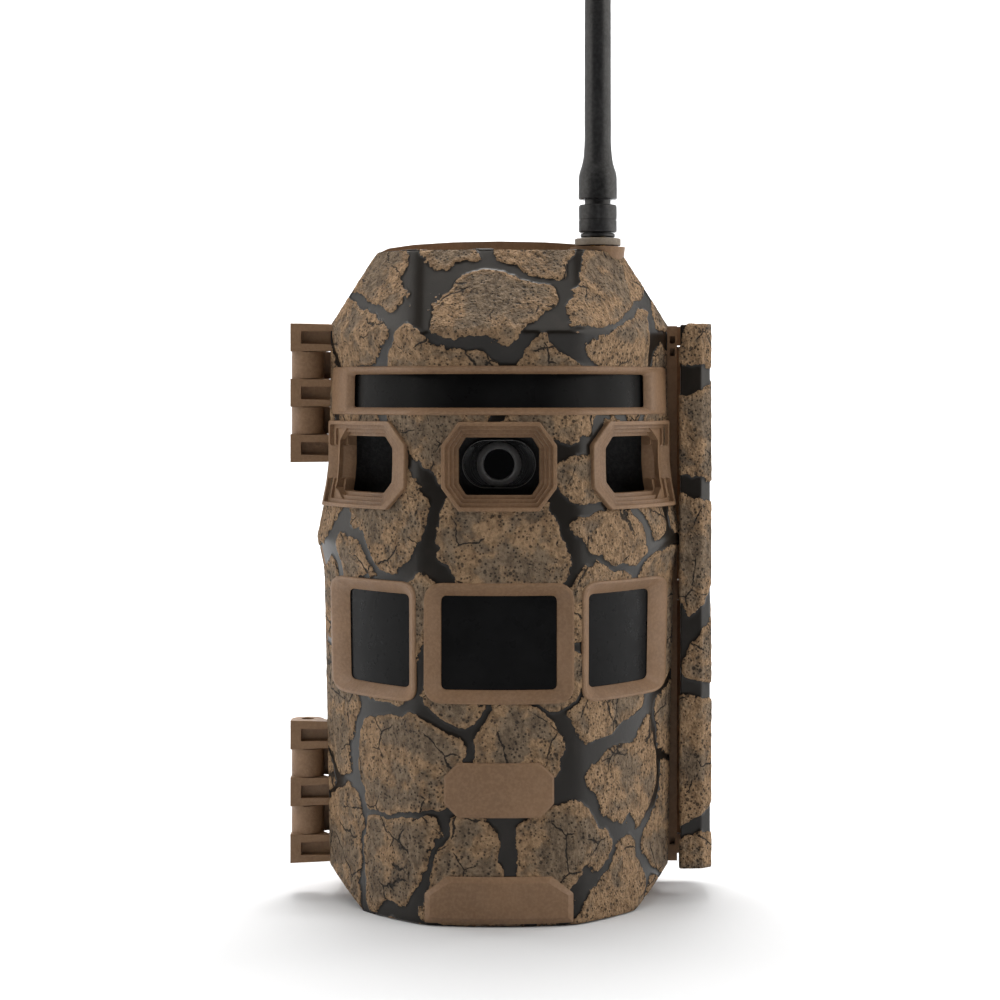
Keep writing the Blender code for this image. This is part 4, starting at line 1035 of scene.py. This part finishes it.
def camera_unit(looks):
    carried("lens_turret", looks["black"], "black_plastic", width=0.35)
    back, length = LENS_Y, 3.27
    rings = [stadium(r, half, y) for r, half, y in (
        (6.3, length, back), (6.3, length, back - 1.75), (6.24, length, back - 1.9),
        (6.12, length, back - 1.97), (6.0, length, back - 1.97), (5.9, length, back - 1.85),
        (5.86, length, back - 0.7), (5.82, 3.2, back - 0.65), (5.80, 2.0, back - 0.65),
        (5.78, 1.9, back - 0.9), (5.74, 1.4, back - 0.9), (5.72, 1.3, back - 0.55),
        (5.70, 0.0, back - 0.55), (5.70, 0.0, back))]
    face = mesh_object("camera_face_look", *bridge(rings, ends=False), looks["face"], 30.0)
    place(face, "turret", "black_plastic", "camera_face")
    # a real lip round the black face, given the lighter ring grey as a painted highlight along it
    rings = [stadium(r, length, y) for r, y in (
        (5.88, back - 1.5), (6.06, back - 1.9), (6.10, back - 2.08), (6.2, back - 2.14),
        (6.32, back - 2.08), (6.36, back - 1.5))]
    place(mesh_object("camera_face_lip_painted_highlight", *bridge(rings, ends=False), looks["ring"], 30.0), "turret",
          "black_plastic")
    axis = forward(0.0, back, LENS_Z)
    barrel = [(4.3, 0.0), (5.66, 0.0), (5.66, 1.0), (5.84, 1.2), (5.86, 1.95), (5.78, 2.15),
              (5.5, 2.45), (5.1, 2.75), (4.75, 2.98), (4.42, 3.12), (4.24, 3.15), (4.16, 3.05),
              (4.14, 2.75), (4.08, 2.70), (4.02, 2.65), (3.95, 2.3), (3.95, 0.0)]
    place(turned("lens_ring_look", barrel, looks["ring"], axis, 96, 30.0, ring=True),
          "turret", "black_plastic", "lens_ring")
    disc = [(3.85, -5.0), (3.95, 2.15), (3.9, 2.2), (2.6, 2.203), (1.3, 2.206), (0.1, 2.208)]
    place(turned("lens_glass_look", disc, looks["glass"], axis, 64, 40.0), "turret",
          "lens_coating", "lens_glass")
    carried("turret_pinion", looks["key"], "key_plastic", width=0.06)


def antenna(looks):
    axis = Matrix.Translation((*ANTENNA, 0.0))
    collar = [(2.5, 176.4), (6.2, 176.4), (6.2, 177.9), (6.14, 178.12), (5.95, 178.25),
              (5.2, 178.3), (2.5, 178.3)]
    place(turned("antenna_collar_look", collar, looks["collar"], axis, 96, 30.0, ring=True),
          "door", "collar_plastic", "antenna_collar")
    whip = [(2.0, 178.6), (4.45, 178.6), (4.66, 178.8), (4.66, 179.4), (4.5, 179.6),
            (3.5, 179.6), (3.5, 188.7), (4.9, 188.75), (5.17, 189.0), (5.2, 189.4),
            (5.17, 194.3), (5.12, 195.0), (4.98, 195.8), (4.74, 196.7), (4.46, 197.5),
            (4.2, 198.4), (3.99, 199.5), (3.84, 200.6), (3.74, 201.8), (3.66, 203.0),
            (3.60, 204.5), (3.55, 240.0), (3.5, 290.0), (3.48, 331.8), (3.35, 333.2),
            (3.0, 334.2), (2.4, 334.8), (1.4, 334.97)]
    place(turned("antenna_whip_look", whip, looks["satin"], axis, 96, 35.0), "door",
          "black_plastic", "antenna_whip")
    nut = [(3.8, 179.9), (4.85, 179.9), (5.08, 180.05), (5.15, 180.4), (5.15, 183.0),
           (5.05, 183.1), (5.05, 183.35), (5.15, 183.45), (5.15, 186.6), (5.08, 187.05),
           (4.85, 187.3), (3.8, 187.3)]
    place(turned("antenna_nut_look", nut, looks["satin"], axis, 96, 30.0, ring=True),
          "antenna_ring", "black_plastic", "antenna_nut")
    thread = [(1.2, 166.0), (3.9, 166.0), (3.9, 176.1), (2.2, 176.2)]
    for i in range(9):
        foot = 176.4 + 0.55 * i
        thread += [(2.0, foot), (2.2, foot + 0.22), (2.2, foot + 0.30), (2.0, foot + 0.52)]
    thread += [(1.9, 181.4), (1.2, 181.4)]
    place(turned("antenna_connector_look", thread, looks["gold"], axis, 48, 30.0, ring=True),
          "door", "brass", "antenna_connector")


# =============================== case, rails and what it holds ===========================
def helix(name, at, wide, narrow, tall, turns, wire, look, body, slot):
    """A conical coil spring standing on a point."""
    steps = int(turns * 20)
    rings = []
    for i in range(steps + 1):
        share = i / steps
        angle, radius = 2 * math.pi * turns * share, wide + (narrow - wide) * share
        centre = Vector(at) + Vector((radius * math.cos(angle), radius * math.sin(angle),
                                      tall * share))
        side = Vector((math.cos(angle), math.sin(angle), 0.0))
        rings.append([centre + side * x + Vector((0.0, 0.0, y)) for x, y in circle(wire, 8)])
    return place(mesh_object(name, *bridge(rings), look, 60.0), body, slot)


def battery_bay(looks):
    carried("battery_tray", looks["charcoal"], "charcoal_plastic", width=0.4)
    for bank, row in enumerate((27.0, 82.5)):
        foot = row - 4.9
        plate = box(f"contact_strip_{bank + 1}", (-30.0, 30.0), (11.0, 24.0), (foot, foot + 0.5),
                    looks["steel"], 0.12)
        place(plate, "case", "bright_steel", ("contact_lower", "contact_upper")[bank])
        for column in range(4):
            x = (column - 1.5) * 15.2
            number = 4 * bank + column + 1
            if column % 2:
                nub = turned(f"contact_button_{number}", [
                    (3.0, foot + 0.5), (2.9, foot + 1.6), (2.4, foot + 2.4), (1.4, foot + 2.9),
                    (0.3, foot + 3.0)], looks["steel"], Matrix.Translation((x, 17.5, 0.0)), 32)
                place(nub, "case", "bright_steel")
            else:
                helix(f"contact_spring_{number}", (x, 17.5, foot + 0.7), 3.8, 2.2, 3.4, 4.0,
                      0.28, looks["steel"], "case", "bright_steel")
            battery_cell(number, x, row, bool(column % 2), looks)


def battery_cell(number, x, row, upside_down, looks):
    length, radius = 50.0, 7.1
    sleeve = [(5.6, 0.35), (6.7, 0.35), (7.0, 0.6), (radius, 1.0), (radius, length - 2.2),
              (7.0, length - 1.8), (6.6, length - 1.5), (5.4, length - 1.45)]
    ends = [(0.4, 0.05), (5.2, 0.0), (5.7, 0.2), (5.8, 0.6), (5.8, length - 1.8),
            (5.5, length - 1.55), (3.0, length - 1.5), (2.75, length - 1.3),
            (2.7, length - 0.25), (2.5, length), (0.4, length)]
    if upside_down:
        sleeve = [(r, length - h) for r, h in reversed(sleeve)]
        ends = [(r, length - h) for r, h in reversed(ends)]
    at = Matrix.Translation((x, 17.5, row))
    place(turned(f"cell_{number}_sleeve", sleeve, looks["sleeve"], at, 48), "case", "cell_wrap",
          f"battery_cell_{number}")
    place(turned(f"cell_{number}_can", ends, looks["steel"], at, 48), "case", "bright_steel")


def case(looks):
    carried("rear_shell", looks["brown"], "brown_plastic", width=0.3, reshape=close_knuckles)
    carried("gasket", looks["rubber"], "soft_rubber", width=0.45, segments=3)
    for node in ("hinge_pin_lower", "hinge_pin_upper"):
        carried(node, looks["steel"], "bright_steel", width=0.35, segments=3)
    carried("latch_pin", looks["steel"], "bright_steel", width=0.3, segments=3)
    bore = [(5.2, 0.1), (5.5, 0.5), (5.5, 3.6), (5.3, 3.7), (5.3, 4.5), (5.5, 4.6), (5.5, 8.5),
            (3.2, 8.5)]
    for i in range(9):
        top = 8.2 - 0.88 * i
        bore += [(3.2, top), (2.85, top - 0.36), (2.85, top - 0.46), (3.2, top - 0.82)]
    bore.append((3.5, 0.1))
    place(turned("tripod_insert_look", bore, looks["brass"], Matrix.Translation((0.0, 17.0, 0.0)),
                 64, 25.0, ring=True), "case", "brass", "tripod_insert")
    plug = [(4.3, 0.12), (4.55, 0.35), (4.6, 0.8), (4.6, 3.3), (4.4, 3.6), (3.4, 3.8), (3.4, 4.6),
            (3.65, 4.8), (3.65, 5.2), (3.4, 5.4), (3.4, 7.0), (3.2, 7.5), (2.8, 7.8)]
    place(turned("power_port_plug_look", plug, looks["rubber"],
                 Matrix.Translation((-20.0, 17.0, 0.0)), 48, 30.0), "case", "soft_rubber",
          "power_port_plug")


# =============================== inside of the door ====================================
def screw(number, x, z, looks):
    """A pan-head screw with a cross recess."""
    at = backward(x, 3.9, z)
    head = [(1.1, -8.0), (1.1, 0.0), (2.25, 0.0), (2.3, 0.12), (2.25, 0.5), (2.05, 0.85),
            (1.7, 1.1), (1.2, 1.22), (0.1, 1.26)]
    thing = turned(f"cover_screw_{number}_look", head, looks["steel"], at, 32)
    for turn in (0.0, 90.0):
        rings = [[at @ Matrix.Rotation(math.radians(turn), 4, "Z") @ Vector((px, py, height))
                  for px, py in ((-r, -0.22), (r, -0.22), (r, 0.22), (-r, 0.22))]
                 for r, height in ((0.35, 0.25), (1.25, 2.0))]
        carve(thing, rings)
    place(thing, "door", "bright_steel", f"cover_screw_{number}")


def carve(thing, rings):
    """Cut a lofted shape out of a piece and keep only the result."""
    cutter = mesh_object("carve", *bridge(rings), thing.data.materials[0])
    step = thing.modifiers.new("carve", "BOOLEAN")
    step.operation, step.object, step.solver = "DIFFERENCE", cutter, "EXACT"
    shaped = bpy.data.meshes.new_from_object(
        thing.evaluated_get(bpy.context.evaluated_depsgraph_get()))
    thing.modifiers.clear()
    thing.data = shaped
    bpy.data.objects.remove(cutter, do_unlink=True)


def door_inside(looks):
    carried("inner_cover", looks["charcoal"], "charcoal_plastic", width=0.25)
    carried("display", looks["display"], "display_glass", width=0.3)
    rim = [(filleted(rectangle(-20.6, 20.6, 62.4, 93.6), 1.8, 5, 2), 3.5),
           (filleted(rectangle(-20.6, 20.6, 62.4, 93.6), 1.8, 5, 2), 3.95),
           (filleted(rectangle(-20.3, 20.3, 62.7, 93.3), 1.6, 5, 2), 4.15),
           (filleted(rectangle(-18.3, 18.3, 64.7, 91.3), 1.0, 5, 2), 4.15),
           (filleted(rectangle(-17.7, 17.7, 65.3, 90.7), 0.8, 5, 2), 3.5)]
    rings = [[(u, depth, z) for u, z in outline] for outline, depth in rim]
    place(mesh_object("display_frame", *bridge(rings, ends=False), looks["black"], 30.0), "door",
          "black_plastic")
    for number, (x, z) in enumerate(((-33.0, 14.0), (33.0, 14.0), (-33.0, 158.0),
                                     (33.0, 158.0)), start=1):
        screw(number, x, z, looks)
    carried("main_board", looks["board"], "circuit_board", width=0.1)
    board_parts(looks)
    carried("ir_led_board", looks["board"], "circuit_board", width=0.1)
    for column in range(12):
        for row in range(2):
            at = forward(-22.0 + 4.0 * column, -19.6, 134.8 + 5.0 * row)
            led = turned(f"emitter_{2 * column + row + 1}", [
                (1.7, 0.0), (1.7, 0.5), (1.45, 0.6), (1.4, 1.5), (1.2, 2.1), (0.8, 2.5),
                (0.1, 2.65)], looks["glass"], at, 24)
            place(led, "door", "lens_coating")
    for tag in ("centre", "right", "left"):
        carried(f"pir_sensor_{tag}", looks["steel"], "bright_steel", width=0.25, segments=3)
    carried("turret_motor", looks["steel"], "bright_steel", width=0.4, segments=3)
    carried("sd_socket", looks["steel"], "bright_steel", width=0.2)


def board_parts(looks):
    """Chips, coils and capacitors on the main board's inner side."""
    rng = np.random.default_rng(SEED)
    spots = [(-24.0, 78.0, 11.0, 11.0), (22.0, 80.0, 9.0, 6.0), (-24.0, 52.0, 8.0, 8.0),
             (26.0, 58.0, 5.0, 9.0), (27.0, 88.0, 8.0, 4.0), (-29.0, 64.0, 4.5, 3.2)]
    for number, (x, z, wide, tall) in enumerate(spots, start=1):
        place(box(f"board_chip_{number}", (x - wide / 2, x + wide / 2), (-3.6, -2.45),
                  (z - tall / 2, z + tall / 2), looks["chip"], 0.12), "door", "charcoal_plastic")
    for number in range(14):
        x, z = rng.uniform(-15.0, 15.0), rng.uniform(42.0, 90.0)
        place(box(f"board_part_{number + 1}", (x - 0.8, x + 0.8), (-3.1, -2.45),
                  (z - 0.45, z + 0.45), looks["steel"], 0.08), "door", "bright_steel")


def controls(looks):
    for node, body, x in (("key_up", "up_key", -11.0), ("key_down", "down_key", 0.0),
                          ("key_ok", "ok_key", 11.0)):
        carried(node, looks["key"], "key_plastic", width=0.35, segments=3)
        if node == "key_ok":
            outline = circle(0.95, 28, x, 52.0)
        else:
            flip = 1 if node == "key_up" else -1
            outline = filleted([(x - 1.1, 52.0 - 0.7 * flip), (x + 1.1, 52.0 - 0.7 * flip),
                                (x, 52.0 + 0.95 * flip)], 0.2, 2, 1)
        mark = slab(f"{node}_mark", outline, 4.55, 4.72, looks["mark"])
        place(mark, body, "charcoal_plastic")
    carried("power_switch", looks["key"], "key_plastic", width=0.2)
    for i in range(3):
        z = 51.0 + i
        place(box(f"switch_ridge_{i + 1}", (21.6, 24.0), (4.5, 4.85), (z - 0.22, z + 0.22),
                  looks["key"], 0.1), "switch", "key_plastic")
    carried("sd_card", looks["card"], "soft_rubber", width=0.15)
    for i in range(8):
        x = -9.6 + 2.75 * i
        place(box(f"card_contact_{i + 1}", (x - 0.95, x + 0.95), (-26.2, -22.4), (25.99, 26.1),
                  looks["gold"], 0.03), "card", "brass")


# =============================== studio ================================================
def studio():
    """A pale sweep, large soft lights at both sides and above, and little light in front."""
    pale = Look("studio_paper", roughness=0.9)
    tone = pale.mix(pale.noise(0.4, detail=2.0), (0.68, 0.704, 0.738, 1.0),
                    (0.72, 0.746, 0.782, 1.0))
    pale.use(Base_Color=tone)
    profile = [(-1.6, 0.0), (1.0, 0.0)]
    profile += [(1.0 + 0.5 * math.sin(t), 0.5 - 0.5 * math.cos(t))
                for t in np.linspace(0.1, math.pi / 2, 14)]
    profile.append((1.5, 2.4))
    bm = bmesh.new()
    rows = [[bm.verts.new((x, y, z)) for x in (-2.2, 2.2)] for y, z in profile]
    for low, high in zip(rows, rows[1:]):
        bm.faces.new((low[0], low[1], high[1], high[0]))
    mesh = bpy.data.meshes.new("studio_sweep")
    bm.to_mesh(mesh)
    bm.free()
    sweep = finish_object("studio_sweep", mesh, pale.material)

    body = (0.0, 0.0, 0.10)
    for name, where, aim, size, power in (
            ("left_key", (-0.72, -0.42, 0.52), body, (0.50, 0.70), 1.1),
            ("right_key", (0.72, -0.42, 0.52), body, (0.50, 0.70), 1.6),
            ("left_panel", (-0.90, 0.06, 0.30), body, (1.00, 0.90), 4.5),
            ("right_panel", (0.90, 0.06, 0.30), body, (1.00, 0.90), 5.6),
            ("front_top", (0.0, -0.34, 0.95), body, (1.10, 0.50), 3.0),
            ("back_top", (0.0, 0.30, 1.05), body, (0.45, 0.60), 8.0),
            ("sweep_light", (0.0, 0.45, 0.95), (0.0, 1.35, 0.20), (2.00, 0.40), 36.0)):
        lamp = bpy.data.lights.new(name, "AREA")
        lamp.shape, lamp.size, lamp.size_y, lamp.energy = "RECTANGLE", *size, power
        lamp.color = (1.0, 0.965, 0.92)
        thing = bpy.data.objects.new(name, lamp)
        thing.location = where
        towards = Vector(aim) - Vector(where)
        thing.rotation_euler = towards.to_track_quat("-Z", "Y").to_euler()
        bpy.context.scene.collection.objects.link(thing)

    world = bpy.data.worlds.new("studio_world")
    world.use_nodes = True
    tree = world.node_tree
    glow = tree.nodes["Background"]
    glow.inputs["Color"].default_value = (1.0, 0.98, 0.96, 1.0)
    seen = tree.nodes.new("ShaderNodeMapRange")
    seen.inputs["To Min"].default_value, seen.inputs["To Max"].default_value = 0.04, 0.80
    tree.links.new(tree.nodes.new("ShaderNodeLightPath").outputs["Is Camera Ray"],
                   seen.inputs["Value"])
    tree.links.new(seen.outputs["Result"], glow.inputs["Strength"])
    bpy.context.scene.world = world
    bpy.context.scene.view_settings.view_transform = "Standard"

    lens = bpy.data.cameras.new("camera")
    lens.lens, lens.sensor_width = 87.1, 36.0
    lens.shift_x, lens.shift_y = 0.001, -0.107
    camera = bpy.data.objects.new("camera", lens)
    camera.location = (0.0, -0.656, 0.1367)
    camera.rotation_euler = (math.radians(90), 0.0, 0.0)
    bpy.context.scene.collection.objects.link(camera)
    bpy.context.scene.camera = camera


def main():
    looks = make_looks()
    door_shell(looks["brown"])
    door_skin(looks["camo"])
    pir_windows(looks)
    lens_hoods(looks["brown"])
    emitter_band(looks)
    plates(looks["brown"])
    latch(looks)
    camera_unit(looks)
    antenna(looks)
    case(looks)
    battery_bay(looks)
    door_inside(looks)
    controls(looks)
    studio()


main()
